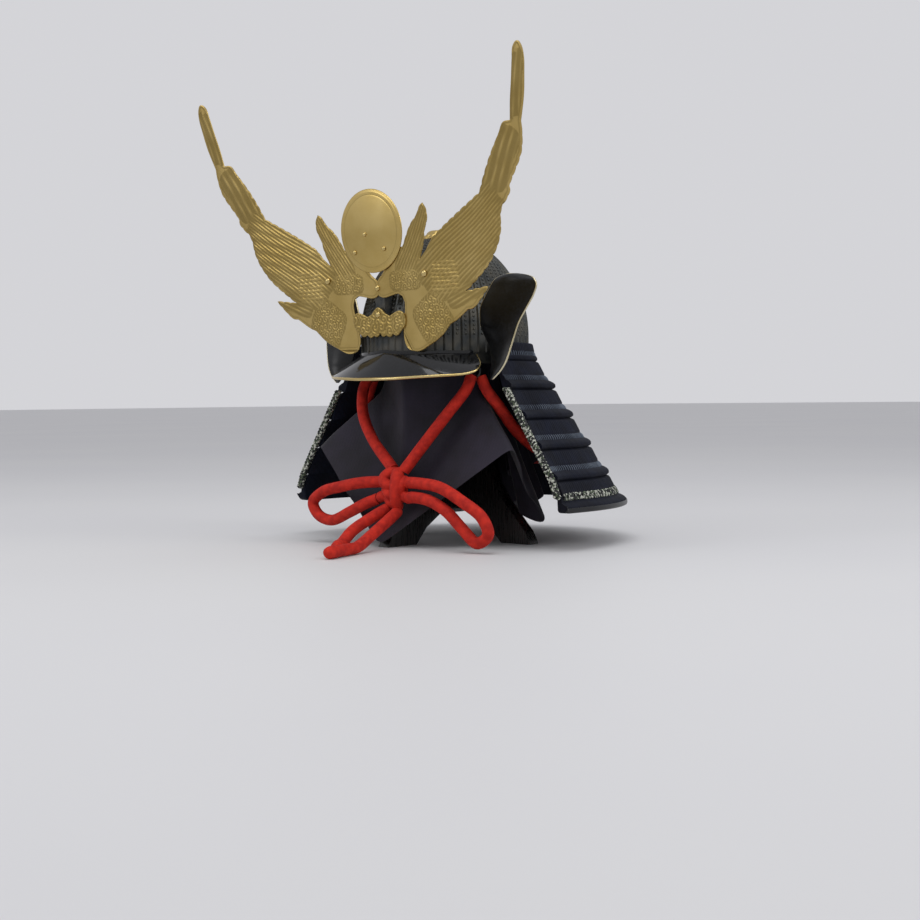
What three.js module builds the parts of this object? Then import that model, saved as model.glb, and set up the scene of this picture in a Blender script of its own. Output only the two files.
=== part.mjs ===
import * as THREE from 'three';
import { mergeVertices } from 'three/addons/utils/BufferGeometryUtils.js';

// Kabuto, the samurai helmet, resting on its cloth-covered stand.
// Millimetres. +Z is up, the helmet looks along -Y, and the stand's feet are on z = 0.

// Clearance between neighbouring pieces, and extra room where a flat facet spans a curved face
const gap = 0.3;
const facetSlack = 0.2;

// Bowl, ribbed outside, one rib to a plate
const bowlHalfWidth = 105;
const bowlHalfLength = 118;
const bowlBaseZ = 250;
const bowlUpright = 25;
const domeHeight = 133;
const bowlWall = 2.5;
const plateCount = 62;
const ribHeight = 1.2;
const crownHoleRadius = 17;
const crownRingWidth = 13;
const crownRingHeight = 8;
const bowlAxisY = -26;

// Waist band under the bowl
const bandHeight = 14;
const bandWall = 3;

// Neck guard of laced lames
const lameCount = 6;
const neckTopRise = 14;
const neckClearance = 0.8;
const firstLameHeight = 24;
const lamePitch = 38.4;
const firstLameFlare = 12.5;
const lameFlareSide = 23.8;
const lameFlareRear = 23.4;
const lameWall = 4;
const lameRollWall = 7;
const neckFrontReach = 51;
const frontFlareTop = 11;
const frontFlareHem = -2;
const frontTurnRise = 25;
const hemCornerRadius = 9;
const earBraidDiameter = 9;

// Visor
const visorWall = 2.2;
const visorLap = 2;
const visorFlange = 5;
const visorDropFront = 34;
const visorDropSide = 28;
const visorReachFront = 22;
const visorReachSide = 55;
const visorHalfAngle = 62;
const visorCornerAngle = 44;
const visorRidge = 2.5;
const visorRimDiameter = 4.4;

// Turned-back side plates
const sidePlateWall = 2.5;
const sidePlateHeight = 131;
const sidePlateTipDrop = 36;
const sidePlateSpan = 79;
const sidePlateInset = 7;
const sidePlateBow = 4;
const sideRimDiameter = 3.6;

// Crest: two wings, a disc and a scroll base on one leaning face
const crestStandOff = 4;
const crestLift = 1;
const crestHeight = 343;
const crestHalfSpan = 281;
const crestLean = 0.11;
const wingSweep = 29;
const wingSheet = 1.6;
const discRadius = 53;
const discCentreRise = 154;
const discEdge = 1.8;
const discDome = 4;
const scrollHalfWidth = 44;
const scrollRise = 19;
const scrollHeight = 36;
const scrollSheet = 2;
const postHalfWidth = 8;
const postRise = 32;
const postHeight = 54;
const studDiameter = 9;
const rivetDiameter = 8;
const discStudDiameter = 6;

// Stand of two cross-halved boards with a rounded head
const standCentreY = -10;
const longFootReach = 142;
const crossFootReach = 136;
const archFootReach = 88;
const archHeight = 44;
const boardThickness = 18;
const headBaseZ = 290;
const headHalfWidth = 80;
const headHalfLength = 84;
const lapHeight = 165;

// Cloth, one square draped corner to front
const clothWall = 2;
const hemReachFront = 134;
const hemReachPinch = 187;
const hemReachSide = 166;
const hemReachRearPinch = 128;
const hemReachRear = 172;
const hemZFront = 3;
const hemZPinch = 130;
const hemZSide = 27;
const hemZRearPinch = 112;
const hemZRear = 9;

// Chin cord and its rings
const cordDiameter = 15;
const ringRadius = 8;
const ringWire = 3.2;
const ringAheadOfAxis = 50;
const knotHalfWidth = 19;
const knotHalfDepth = 14;
const knotHalfHeight = 28;
const knotCentre = new THREE.Vector3(11, -134, 74);

const degrees = Math.PI / 180;

const finishes = {
  lacquer: { color: 0x0b0c0e, roughness: 0.12, metalness: 0.0 },
  iron: { color: 0x2c2f2e, roughness: 0.45, metalness: 0.8 },
  gilt: { color: 0xa58d4e, roughness: 0.35, metalness: 0.9 },
  lacing: { color: 0x141a2e, roughness: 0.85, metalness: 0.0 },
  speckled: { color: 0x5d6a58, roughness: 0.85, metalness: 0.0 },
  cord: { color: 0xc23020, roughness: 0.8, metalness: 0.0 },
  cloth: { color: 0x2a2433, roughness: 0.75, metalness: 0.0 },
  wood: { color: 0x100e0d, roughness: 0.3, metalness: 0.0 },
};

const helmet = new THREE.Group();

function place(name, geometry, finish) {
  const mesh = new THREE.Mesh(geometry, new THREE.MeshStandardMaterial(finishes[finish]));
  mesh.name = name;
  helmet.add(mesh);
  return mesh;
}

function vector(x, y, z) {
  return new THREE.Vector3(x, y, z);
}

// Merges shared corners, drops empty triangles and turns every face outward
function closedBody(source) {
  const bare = new THREE.BufferGeometry();
  bare.setAttribute('position', source.getAttribute('position').clone());
  if (source.index) bare.setIndex(source.index.clone());
  const merged = mergeVertices(bare, 1e-3);
  const spots = merged.getAttribute('position');
  const corner = (i) => new THREE.Vector3().fromBufferAttribute(spots, i);
  const kept = [];
  let volume = 0;
  for (let i = 0; i < merged.index.count; i += 3) {
    const [a, b, c] = [0, 1, 2].map((k) => merged.index.getX(i + k));
    if (a === b || b === c || c === a) continue;
    kept.push([a, b, c]);
    volume += corner(a).dot(corner(b).cross(corner(c)));
  }
  merged.setIndex((volume < 0 ? kept.map(([a, b, c]) => [a, c, b]) : kept).flat());
  merged.computeVertexNormals();
  return merged;
}

function meshFrom(points, faces) {
  const geometry = new THREE.BufferGeometry();
  const numbers = points.flatMap((p) => [p.x, p.y, p.z]);
  geometry.setAttribute('position', new THREE.Float32BufferAttribute(numbers, 3));
  geometry.setIndex(faces.flat());
  return closedBody(geometry);
}

// Triangles of one flat section, in the order of its points
function sectionFaces(section) {
  const normal = vector(0, 0, 0);
  section.forEach((p, i) => {
    const q = section[(i + 1) % section.length];
    normal.add(vector((p.y - q.y) * (p.z + q.z), (p.z - q.z) * (p.x + q.x), (p.x - q.x) * (p.y + q.y)));
  });
  normal.normalize();
  const across = section[1].clone().sub(section[0]).normalize();
  const up = normal.clone().cross(across);
  const flat = section.map((p) => new THREE.Vector2(p.dot(across), p.dot(up)));
  return THREE.ShapeUtils.triangulateShape(flat, []);
}

// Skin through sections that all have the same number of points
function loft(sections, closed) {
  const count = sections[0].length;
  const faces = [];
  const spans = closed ? sections.length : sections.length - 1;
  for (let i = 0; i < spans; i++) {
    const here = i * count;
    const there = ((i + 1) % sections.length) * count;
    for (let j = 0; j < count; j++) {
      const k = (j + 1) % count;
      faces.push([here + j, there + j, there + k], [here + j, there + k, here + k]);
    }
  }
  if (!closed) {
    const last = (sections.length - 1) * count;
    sectionFaces(sections[0]).forEach((face) => faces.push(face));
    sectionFaces(sections.at(-1)).forEach(([a, b, c]) => faces.push([last + a, last + c, last + b]));
  }
  return meshFrom(sections.flat(), faces);
}

// Outward direction of a surface given by a function of two shares
function surfaceNormal(surface, u, v) {
  const step = 0.01;
  const low = (t) => Math.max(0, t - step);
  const high = (t) => Math.min(1, t + step);
  const alongU = surface(high(u), v).sub(surface(low(u), v));
  const alongV = surface(u, high(v)).sub(surface(u, low(v)));
  return alongU.cross(alongV).normalize();
}

// Sheet of even thickness on the side of a surface that its normal points away from
function shell(surface, uShares, vShares, wall) {
  const columns = vShares.length;
  const front = uShares.flatMap((u) => vShares.map((v) => surface(u, v)));
  const back = uShares.flatMap((u) =>
    vShares.map((v) => surface(u, v).addScaledVector(surfaceNormal(surface, u, v), -wall)));
  const faces = [];
  const quad = (a, b, c, d) => faces.push([a, b, c], [a, c, d]);
  const under = front.length;
  for (let i = 0; i + 1 < uShares.length; i++) {
    for (let j = 0; j + 1 < columns; j++) {
      const a = i * columns + j;
      quad(a, a + columns, a + columns + 1, a + 1);
      quad(under + a, under + a + 1, under + a + columns + 1, under + a + columns);
    }
    const near = i * columns;
    const far = near + columns - 1;
    quad(near, under + near, under + near + columns, near + columns);
    quad(far, far + columns, under + far + columns, under + far);
  }
  for (let j = 0; j + 1 < columns; j++) {
    const end = (uShares.length - 1) * columns + j;
    quad(j, j + 1, under + j + 1, under + j);
    quad(end, under + end, under + end + 1, end + 1);
  }
  return meshFrom([...front, ...back], faces);
}

// Round bead that runs along an open edge, a gap outside it
function edgeBead(edge, normals, inside, diameter, wall) {
  const sides = 6;
  const offset = diameter / 2 + gap;
  const sections = edge.map((point, i) => {
    const before = edge[Math.max(0, i - 1)];
    const after = edge[Math.min(edge.length - 1, i + 1)];
    const normal = normals[i];
    const middle = point.clone().addScaledVector(normal, -wall / 2);
    const outwardOf = (from, to) => {
      const out = to.clone().sub(from).cross(normal).normalize();
      return out.dot(point.clone().sub(inside)) < 0 ? out.negate() : out;
    };
    const first = i > 0 ? outwardOf(before, point) : outwardOf(point, after);
    const second = i + 1 < edge.length ? outwardOf(point, after) : first;
    const outward = first.clone().add(second).normalize();
    const mitre = offset / Math.max(0.5, outward.dot(first));
    const centre = middle.addScaledVector(outward, mitre);
    return Array.from({ length: sides }, (_, k) => {
      const turn = (k / sides) * 2 * Math.PI;
      return centre.clone()
        .addScaledVector(outward, Math.cos(turn) * diameter / 2)
        .addScaledVector(normal, Math.sin(turn) * diameter / 2);
    });
  });
  return loft(sections, false);
}

// Flat outline in x and z, given a thickness in y behind a face
function sheetPlate(outline, wall, faceY, holes = []) {
  const shape = new THREE.Shape(outline.map(([x, z]) => new THREE.Vector2(x, z)));
  holes.forEach((hole) => shape.holes.push(new THREE.Path(hole.map(([x, z]) => new THREE.Vector2(x, z)))));
  const geometry = new THREE.ExtrudeGeometry(shape, { depth: wall, steps: 1, bevelEnabled: false });
  const spots = geometry.getAttribute('position');
  for (let i = 0; i < spots.count; i++) {
    const [x, z, depth] = [spots.getX(i), spots.getY(i), spots.getZ(i)];
    spots.setXYZ(i, x, faceY(x, z) + depth, z);
  }
  return closedBody(geometry);
}

function mirrored(geometry) {
  return closedBody(geometry.clone().scale(-1, 1, 1));
}

function bothSides(name, geometry, finish) {
  return [
    place(`${name}_left`, geometry, finish),
    place(`${name}_right`, mirrored(geometry), finish),
  ];
}

// Places in x and z on circles round a middle, and the surface that is foremost at each
function foremost(carriers, x, z, radius) {
  const spots = [[x, z]];
  [radius, radius / 2].forEach((reach) => {
    for (let i = 0; i < 24; i++) {
      const turn = (i / 24) * 2 * Math.PI;
      spots.push([x + Math.cos(turn) * reach, z + Math.sin(turn) * reach]);
    }
  });
  return spots.flatMap(([px, pz]) => {
    const caster = new THREE.Raycaster(vector(px, -1000, pz), vector(0, 1, 0));
    return caster.intersectObjects(carriers).slice(0, 1);
  });
}

// The y at which a plane through (x, z) clears the carriers by the gap, all over a circle
function seatY(carriers, x, z, radius, axis) {
  const ahead = Math.max(...foremost(carriers, x, z, radius).map((hit) => hit.point.dot(axis))) + gap;
  return (ahead - axis.x * x - axis.z * z) / axis.y;
}

function interpolate(rows, share, key) {
  const next = rows.findIndex((row) => row.share >= share);
  if (next <= 0) return rows[0][key];
  const [low, high] = [rows[next - 1], rows[next]];
  return THREE.MathUtils.lerp(low[key], high[key], (share - low.share) / (high.share - low.share));
}

// Bowl: upright wall, then a dome up to the crown hole
const domeBaseZ = bowlBaseZ + bowlUpright;
const holeElevation = Math.acos(crownHoleRadius / bowlHalfWidth) / degrees;
const bowlLevels = [
  { elevation: 0, z: bowlBaseZ },
  { elevation: 0, z: domeBaseZ },
  ...[22, 44, 64, holeElevation].map((elevation) => ({
    elevation,
    z: domeBaseZ + domeHeight * Math.sin(elevation * degrees),
  })),
];

function bowlSection(column) {
  const angle = (column / (2 * plateCount)) * 2 * Math.PI;
  const isRib = column % 2 === 0;
  const ring = (spread, level, z) => vector(
    Math.cos(angle) * (bowlHalfWidth * spread + level),
    bowlAxisY + Math.sin(angle) * (bowlHalfLength * spread + level),
    z,
  );
  const outside = bowlLevels.map(({ elevation, z }) => {
    const spread = Math.cos(elevation * degrees);
    return ring(spread, isRib ? ribHeight * Math.sqrt(spread) : 0, z);
  });
  const inside = bowlLevels.map(({ elevation, z }) => {
    const lift = Math.sin(elevation * degrees);
    return ring(Math.cos(elevation * degrees), -bowlWall * Math.cos(elevation * degrees), z - bowlWall * lift);
  });
  return [...outside, ...inside.reverse()];
}

place('bowl', loft(Array.from({ length: 2 * plateCount }, (_, i) => bowlSection(i)), true), 'iron');

// Front of the bowl, half way across, at a height on its faceted outline
function bowlFrontY(z) {
  const next = bowlLevels.findIndex((level) => level.z >= z);
  const [low, high] = [bowlLevels[Math.max(0, next - 1)], bowlLevels[Math.max(0, next)]];
  const share = high.z > low.z ? (z - low.z) / (high.z - low.z) : 0;
  const spread = THREE.MathUtils.lerp(Math.cos(low.elevation * degrees), Math.cos(high.elevation * degrees), share);
  return bowlAxisY - bowlHalfLength * spread;
}

// Crown ring, stretched to the bowl's own length
function crownRing() {
  const [shoulder, brink] = bowlLevels.slice(-2);
  const slope = (brink.z - shoulder.z)
    / (bowlHalfWidth * (Math.cos(shoulder.elevation * degrees) - Math.cos(brink.elevation * degrees)));
  const outer = crownHoleRadius + crownRingWidth;
  const seat = brink.z + ribHeight * slope + gap;
  const profile = [
    [crownHoleRadius, seat],
    [outer, seat - crownRingWidth * slope],
    [outer, seat - crownRingWidth * slope + crownRingHeight * 0.25],
    [outer - crownRingWidth * 0.45, seat + crownRingHeight * 0.3],
    [crownHoleRadius + crownRingWidth * 0.2, seat + crownRingHeight],
    [crownHoleRadius, seat + crownRingHeight * 0.8],
    [crownHoleRadius, seat],
  ].map(([radius, z]) => new THREE.Vector2(radius, z));
  const geometry = new THREE.LatheGeometry(profile, 20);
  geometry.rotateX(Math.PI / 2);
  geometry.scale(1, bowlHalfLength / bowlHalfWidth, 1);
  geometry.translate(0, bowlAxisY, 0);
  return closedBody(geometry);
}

place('crown_ring', crownRing(), 'gilt');

// Waist band: an upright ring just under the bowl
function waistBand() {
  const topZ = bowlBaseZ - gap;
  const sections = Array.from({ length: 40 }, (_, i) => {
    const angle = (i / 40) * 2 * Math.PI;
    return [[0, topZ], [0, bowlBaseZ - bandHeight], [bandWall, bowlBaseZ - bandHeight], [bandWall, topZ]]
      .map(([inset, z]) => vector(
        Math.cos(angle) * (bowlHalfWidth - inset),
        bowlAxisY + Math.sin(angle) * (bowlHalfLength - inset),
        z,
      ));
  });
  return loft(sections, true);
}

place('waist_band', waistBand(), 'iron');

// Neck guard: half width, half length and height at each lame's lower edge
const neckTop = {
  z: bowlBaseZ + neckTopRise,
  side: bowlHalfWidth + ribHeight + neckClearance + lameWall,
  rear: bowlHalfLength + ribHeight + neckClearance + lameWall,
};
const neckEdges = [neckTop];
for (let i = 0; i < lameCount; i++) {
  neckEdges.push({
    z: neckTop.z - firstLameHeight - i * lamePitch,
    side: bowlHalfWidth + firstLameFlare + i * lameFlareSide,
    rear: bowlHalfLength + firstLameFlare + i * lameFlareRear,
  });
}
const hemZ = neckEdges.at(-1).z;

// The front edges stand out a little, and turn down almost upright just above the hem
function frontFlare(z) {
  const rise = Math.min(1, Math.max(0, (z - hemZ) / frontTurnRise));
  return THREE.MathUtils.lerp(frontFlareHem, frontFlareTop, rise ** 1.5);
}

// A place along the neck guard: round the back by angle, then straight ahead by a share of the front reach
function neckPoint(station, side, rear, z) {
  if (station.angle !== undefined) {
    return vector(side * Math.sin(station.angle), bowlAxisY + rear * Math.cos(station.angle), z);
  }
  const flare = frontFlare(z) * station.ahead ** 2;
  return vector(station.hand * (side + flare), bowlAxisY - neckFrontReach * station.ahead, z);
}

function neckStations(aheadShares) {
  const left = [...aheadShares].reverse().map((ahead) => ({ ahead, hand: -1 }));
  const round = Array.from({ length: 19 }, (_, i) => ({ angle: (i * 10 - 90) * degrees }));
  const right = aheadShares.map((ahead) => ({ ahead, hand: 1 }));
  return [...left, ...round, ...right];
}

// Outer outline of one lame: shares of its height and of its step outward
const lameOutline = [
  { drop: 0.0, out: -0.04 },
  { drop: 0.08, out: 0.1 },
  { drop: 0.46, out: 0.42 },
  { drop: 0.7, out: 0.88 },
  { drop: 0.88, out: 1.0 },
  { drop: 1.0, out: 0.92 },
];

function neckLame(index) {
  const [top, bottom] = [neckEdges[index], neckEdges[index + 1]];
  const isHem = index === lameCount - 1;
  const topZ = top.z - gap;
  const aheadShares = isHem ? [0.5, 0.86, 0.96, 1] : [0.5, 1];
  const sections = neckStations(aheadShares).map((station) => {
    const fromEdge = station.ahead === undefined ? neckFrontReach : (1 - station.ahead) * neckFrontReach;
    const inCorner = Math.max(0, hemCornerRadius - fromEdge);
    const lift = isHem ? hemCornerRadius - Math.sqrt(hemCornerRadius ** 2 - inCorner ** 2) : 0;
    const at = (drop, out, inset) => {
      const z = Math.max(THREE.MathUtils.lerp(topZ, bottom.z, drop), bottom.z + lift);
      const side = THREE.MathUtils.lerp(top.side, bottom.side, out) - inset;
      const rear = THREE.MathUtils.lerp(top.rear, bottom.rear, out) - inset;
      return neckPoint(station, side, rear, z);
    };
    const outside = lameOutline.map(({ drop, out }) => at(drop, out, 0));
    const [head, foot] = [lameOutline[0], lameOutline.at(-1)];
    return [...outside, at(foot.drop, foot.out, lameRollWall), at(head.drop, head.out, lameWall)];
  });
  return loft(sections, false);
}

for (let i = 0; i < lameCount; i++) {
  place(`neck_lame_${i + 1}`, neckLame(i), 'lacing');
}

// Outer half width of the neck guard's front edge at a height
function neckFrontHalfWidth(z) {
  const next = Math.max(1, neckEdges.findIndex((edge) => edge.z <= z));
  const [high, low] = [neckEdges[next - 1], neckEdges[next]];
  return THREE.MathUtils.mapLinear(z, high.z, low.z, high.side, low.side) + frontFlare(z);
}

// Tube along chosen points
function tube(points, diameter, sides, steps) {
  const circle = Array.from({ length: sides }, (_, i) => {
    const turn = (i / sides) * 2 * Math.PI;
    return new THREE.Vector2(Math.cos(turn) * diameter / 2, Math.sin(turn) * diameter / 2);
  });
  const path = new THREE.CatmullRomCurve3(points);
  const shape = new THREE.Shape(circle);
  return closedBody(new THREE.ExtrudeGeometry(shape, { steps, extrudePath: path, bevelEnabled: false }));
}

// Speckled braid down each front edge of the neck guard
function earBraid() {
  const frontY = bowlAxisY - neckFrontReach - gap - earBraidDiameter / 2;
  const topZ = neckEdges[2].z + 2;
  const bottomZ = hemZ + hemCornerRadius + earBraidDiameter;
  const points = Array.from({ length: 7 }, (_, i) => {
    const z = THREE.MathUtils.lerp(topZ, bottomZ, i / 6);
    return vector(neckFrontHalfWidth(z) - earBraidDiameter * 0.3, frontY, z);
  });
  return tube(points, earBraidDiameter, 6, 9);
}

bothSides('edge_braid', earBraid(), 'speckled');

// Visor's inner face: u runs from one temple to the other, v from the upright flange to the rim
const flangeShare = 0.12;

function visorPoint(u, v) {
  const turn = THREE.MathUtils.lerp(-visorHalfAngle, visorHalfAngle, u);
  const side = Math.abs(turn) / visorHalfAngle;
  const seat = ribHeight + gap;
  const past = Math.max(0, (Math.abs(turn) - visorCornerAngle) / (visorHalfAngle - visorCornerAngle));
  const rounding = Math.max(0.12, Math.sqrt(Math.max(0, 1 - past ** 3)));
  const reach = THREE.MathUtils.lerp(visorReachFront, visorReachSide, side ** 2) * rounding;
  const drop = THREE.MathUtils.lerp(visorDropFront, visorDropSide, side) * rounding;
  const upright = Math.min(1, v / flangeShare);
  const along = Math.max(0, (v - flangeShare) / (1 - flangeShare));
  const ridge = visorRidge * Math.max(0, 1 - Math.abs(turn) / 14) * (1 - along * 0.5);
  const out = reach * (along + 0.25 * along * (1 - along));
  const fall = visorFlange * upright + (drop + visorLap - visorFlange) * along;
  return vector(
    Math.sin(turn * degrees) * (bowlHalfWidth + seat + out),
    bowlAxisY - Math.cos(turn * degrees) * (bowlHalfLength + seat)
      - out * (side < 1 ? Math.cos(turn * degrees) ** 1.6 : 0),
    bowlBaseZ + visorLap - fall + ridge,
  );
}

const visorColumns = Array.from({ length: 25 }, (_, i) => i / 24);
const visorRows = [0, flangeShare, 0.4, 0.7, 1];
const visorSurface = (u, v) => visorPoint(u, v);
place('visor', shell(visorSurface, visorColumns, visorRows, visorWall), 'lacquer');

function visorRim() {
  const edge = visorColumns.map((u) => visorPoint(u, 1));
  const normals = visorColumns.map((u) => surfaceNormal(visorSurface, u, 1));
  const inside = vector(0, bowlAxisY, bowlBaseZ);
  return edgeBead(edge, normals, inside, visorRimDiameter, visorWall);
}

place('visor_rim', visorRim(), 'gilt');

// Side plate's rear face: shares of its height, and of its span for the inner and outer edges
const sidePlateRows = [
  { share: 0.0, inner: 0.31, outer: 0.33, innerY: -16.5, outerY: -17 },
  { share: 0.09, inner: 0.25, outer: 0.49, innerY: -9, outerY: -15 },
  { share: 0.18, inner: 0.2, outer: 0.58, innerY: -2, outerY: -13 },
  { share: 0.35, inner: 0.11, outer: 0.66, innerY: 0, outerY: -9 },
  { share: 0.53, inner: 0.01, outer: 0.73, innerY: -5, outerY: -4 },
  { share: 0.68, inner: -0.02, outer: 0.86, innerY: -3, outerY: 0 },
  { share: 0.81, inner: 0.06, outer: 0.97, innerY: 0, outerY: 4 },
  { share: 0.89, inner: 0.13, outer: 1.0, innerY: 2, outerY: 6 },
  { share: 0.945, inner: 0.19, outer: 0.95, innerY: 3, outerY: 7 },
  { share: 0.98, inner: 0.28, outer: 0.8, innerY: 4, outerY: 8 },
  { share: 1.0, inner: 0.41, outer: 0.6, innerY: 5, outerY: 8 },
];
const sidePlateBackY = bowlAxisY - neckFrontReach - gap;
const sidePlateInnerX = bowlHalfWidth + firstLameFlare - sidePlateInset;
const sidePlateTipZ = bowlBaseZ - sidePlateTipDrop;

function sidePlatePoint(u, v) {
  const row = (key) => interpolate(sidePlateRows, u, key);
  const across = THREE.MathUtils.lerp(row('inner'), row('outer'), v);
  const bow = 4 * v * (1 - v) * sidePlateBow * Math.min(1, (row('outer') - row('inner')) / 0.4);
  return vector(
    sidePlateInnerX + sidePlateSpan * across,
    sidePlateBackY + THREE.MathUtils.lerp(row('innerY'), row('outerY'), v) - bow,
    sidePlateTipZ + sidePlateHeight * u,
  );
}

const plateRows = sidePlateRows.map((row) => row.share);
const plateColumns = [0, 0.33, 0.67, 1];
bothSides('side_plate', shell(sidePlatePoint, plateRows, plateColumns, sidePlateWall), 'lacquer');

function sidePlateRim() {
  const edge = [
    ...plateRows.slice(4).map((u) => [u, 0]),
    ...plateColumns.slice(1, -1).map((v) => [1, v]),
    ...[...plateRows].reverse().map((u) => [u, 1]),
  ];
  const points = edge.map(([u, v]) => sidePlatePoint(u, v));
  const normals = edge.map(([u, v]) => surfaceNormal(sidePlatePoint, u, v));
  return edgeBead(points, normals, sidePlatePoint(0.6, 0.5), sideRimDiameter, sidePlateWall);
}

bothSides('side_rim', sidePlateRim(), 'gilt');

// Crest face: leans forward with height, and sweeps forward towards the wing tips
const crestBaseZ = bowlBaseZ + crestLift;
const crestBaseY = bowlAxisY - bowlHalfLength - crestStandOff;

function crestFaceY(x, z) {
  const rise = z - crestBaseZ;
  const sweep = wingSweep * (rise / crestHeight) * (Math.abs(x) / crestHalfSpan);
  return crestBaseY - crestLean * rise - sweep;
}

// Wing outline from the centre bar, up the small feather, round the long feathers and down to the lobe:
// x as a share of the half span, z as a share of the crest's height
const wingOutline = [
  [0.001, 0.213], [0.001, 0.262], [0.036, 0.289], [0.1, 0.352], [0.16, 0.382], [0.178, 0.379],
  [0.238, 0.455], [0.285, 0.49], [0.305, 0.515], [0.327, 0.528], [0.343, 0.5], [0.342, 0.469],
  [0.32, 0.43], [0.31, 0.395], [0.278, 0.332],
  [0.32, 0.36], [0.36, 0.397], [0.4, 0.418], [0.452, 0.443], [0.485, 0.475], [0.552, 0.49],
  [0.585, 0.51], [0.625, 0.517], [0.67, 0.536], [0.705, 0.59], [0.755, 0.655], [0.815, 0.72],
  [0.845, 0.752], [0.886, 0.755],
  [0.9, 0.82], [0.918, 0.88], [0.936, 0.945], [0.95, 0.985], [0.977, 0.998], [0.995, 0.98],
  [1.0, 0.94], [0.993, 0.9], [0.975, 0.825], [0.943, 0.746],
  [0.943, 0.717], [0.925, 0.65], [0.872, 0.585], [0.84, 0.551], [0.835, 0.525], [0.78, 0.478],
  [0.768, 0.445], [0.765, 0.414], [0.74, 0.36], [0.722, 0.338], [0.69, 0.305], [0.658, 0.28],
  [0.53, 0.204], [0.658, 0.216], [0.6, 0.168], [0.56, 0.143], [0.53, 0.14], [0.452, 0.102],
  [0.42, 0.092], [0.36, 0.05], [0.274, 0.015], [0.225, 0.0], [0.185, 0.002], [0.155, 0.014],
  [0.141, 0.036], [0.139, 0.073], [0.146, 0.117], [0.158, 0.15], [0.162, 0.18], [0.15, 0.203],
  [0.125, 0.213],
];

function wing() {
  const outline = wingOutline.map(([x, z]) => [x * crestHalfSpan, crestBaseZ + z * crestHeight]);
  return sheetPlate(outline, wingSheet, crestFaceY);
}

const wings = bothSides('crest_wing', wing(), 'gilt');

// Scroll base in front of the wings' roots, with a wavy upper edge and a cut lower edge
const scrollUpper = [
  { across: 1.0, rise: 0.78 }, { across: 0.86, rise: 0.9 }, { across: 0.66, rise: 0.86 },
  { across: 0.44, rise: 0.74 }, { across: 0.26, rise: 0.84 }, { across: 0.14, rise: 0.98 },
  { across: 0.0, rise: 1.06 },
];
const scrollLower = [
  { across: 1.0, rise: 0.42 }, { across: 0.84, rise: 0.2 }, { across: 0.66, rise: 0.04 },
  { across: 0.5, rise: 0.1 }, { across: 0.4, rise: 0.0 }, { across: 0.24, rise: 0.06 },
  { across: 0.12, rise: 0.02 }, { across: 0.0, rise: 0.16 },
];
const scrollBottomZ = crestBaseZ + scrollRise;
const scrollTopZ = scrollBottomZ + scrollUpper.at(-1).rise * scrollHeight;
const scrollSweep = crestFaceY(0, scrollTopZ) - crestFaceY(scrollHalfWidth, scrollTopZ);
const scrollFaceY = (x, z) => crestFaceY(0, z) - scrollSheet - gap - scrollSweep;

function scrollBase() {
  const at = (hand) => ({ across, rise }) => [
    hand * across * scrollHalfWidth,
    scrollBottomZ + rise * scrollHeight,
  ];
  const upper = [...scrollUpper.map(at(1)), ...scrollUpper.slice(0, -1).reverse().map(at(-1))];
  const lower = [...scrollLower.map(at(-1)), ...scrollLower.slice(0, -1).reverse().map(at(1))];
  return sheetPlate([...upper, ...lower], scrollSheet, scrollFaceY);
}

const scroll = place('crest_base', scrollBase(), 'gilt');

// Post between the bowl's front and the wings' roots
function crestPost() {
  const bottomZ = crestBaseZ + postRise;
  const topZ = bottomZ + postHeight;
  const levels = bowlLevels.map((level) => level.z).filter((z) => z > bottomZ && z < topZ);
  const heights = [bottomZ, ...levels, topZ];
  const front = heights.map((z) => [crestFaceY(0, z) + wingSheet + gap + facetSlack, z]);
  const back = heights.map((z) => [bowlFrontY(z) - ribHeight - gap, z]);
  const outline = [...front, ...back.reverse()].map(([y, z]) => new THREE.Vector2(y, z));
  const geometry = new THREE.ExtrudeGeometry(new THREE.Shape(outline), {
    depth: 2 * postHalfWidth, steps: 1, bevelEnabled: false,
  });
  const spots = geometry.getAttribute('position');
  for (let i = 0; i < spots.count; i++) {
    const [y, z, x] = [spots.getX(i), spots.getY(i), spots.getZ(i)];
    spots.setXYZ(i, x - postHalfWidth, y, z);
  }
  return closedBody(geometry);
}

place('crest_post', crestPost(), 'iron');

// Disc in front of the wings, domed towards the front
const discTilt = Math.atan(crestLean);
const discAxis = vector(0, -Math.cos(discTilt), -Math.sin(discTilt));
const discCentreZ = crestBaseZ + discCentreRise;
const discBackY = seatY(wings, 0, discCentreZ, discRadius, discAxis);

function disc() {
  const profile = [
    [0, 0], [discRadius * 0.97, 0], [discRadius, discEdge * 0.5], [discRadius * 0.97, discEdge],
    [discRadius * 0.75, discEdge + discDome * 0.5], [discRadius * 0.4, discEdge + discDome * 0.87],
    [0, discEdge + discDome],
  ].map(([radius, height]) => new THREE.Vector2(radius, height));
  const turn = new THREE.Quaternion().setFromUnitVectors(vector(0, 1, 0), discAxis);
  const geometry = new THREE.LatheGeometry(profile, 30).applyQuaternion(turn);
  geometry.translate(0, discBackY, discCentreZ);
  return closedBody(geometry);
}

const crestDisc = place('crest_disc', disc(), 'gilt');

// Round-headed stud, square to the surface that carries it
function stud(carriers, x, z, diameter) {
  const radius = diameter / 2;
  const profile = [[0, 0], [1, 0], [0.92, 0.4], [0.55, 0.72], [0, 0.85]]
    .map(([r, h]) => new THREE.Vector2(r * radius, h * radius));
  const normals = foremost(carriers, x, z, radius).map((hit) => hit.face.normal);
  const axis = normals.reduce((sum, normal) => sum.add(normal), vector(0, 0, 0)).normalize();
  const turn = new THREE.Quaternion().setFromUnitVectors(vector(0, 1, 0), axis);
  const geometry = new THREE.LatheGeometry(profile, 8).applyQuaternion(turn);
  geometry.translate(x, seatY(carriers, x, z, radius, axis), z);
  return closedBody(geometry);
}

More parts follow.
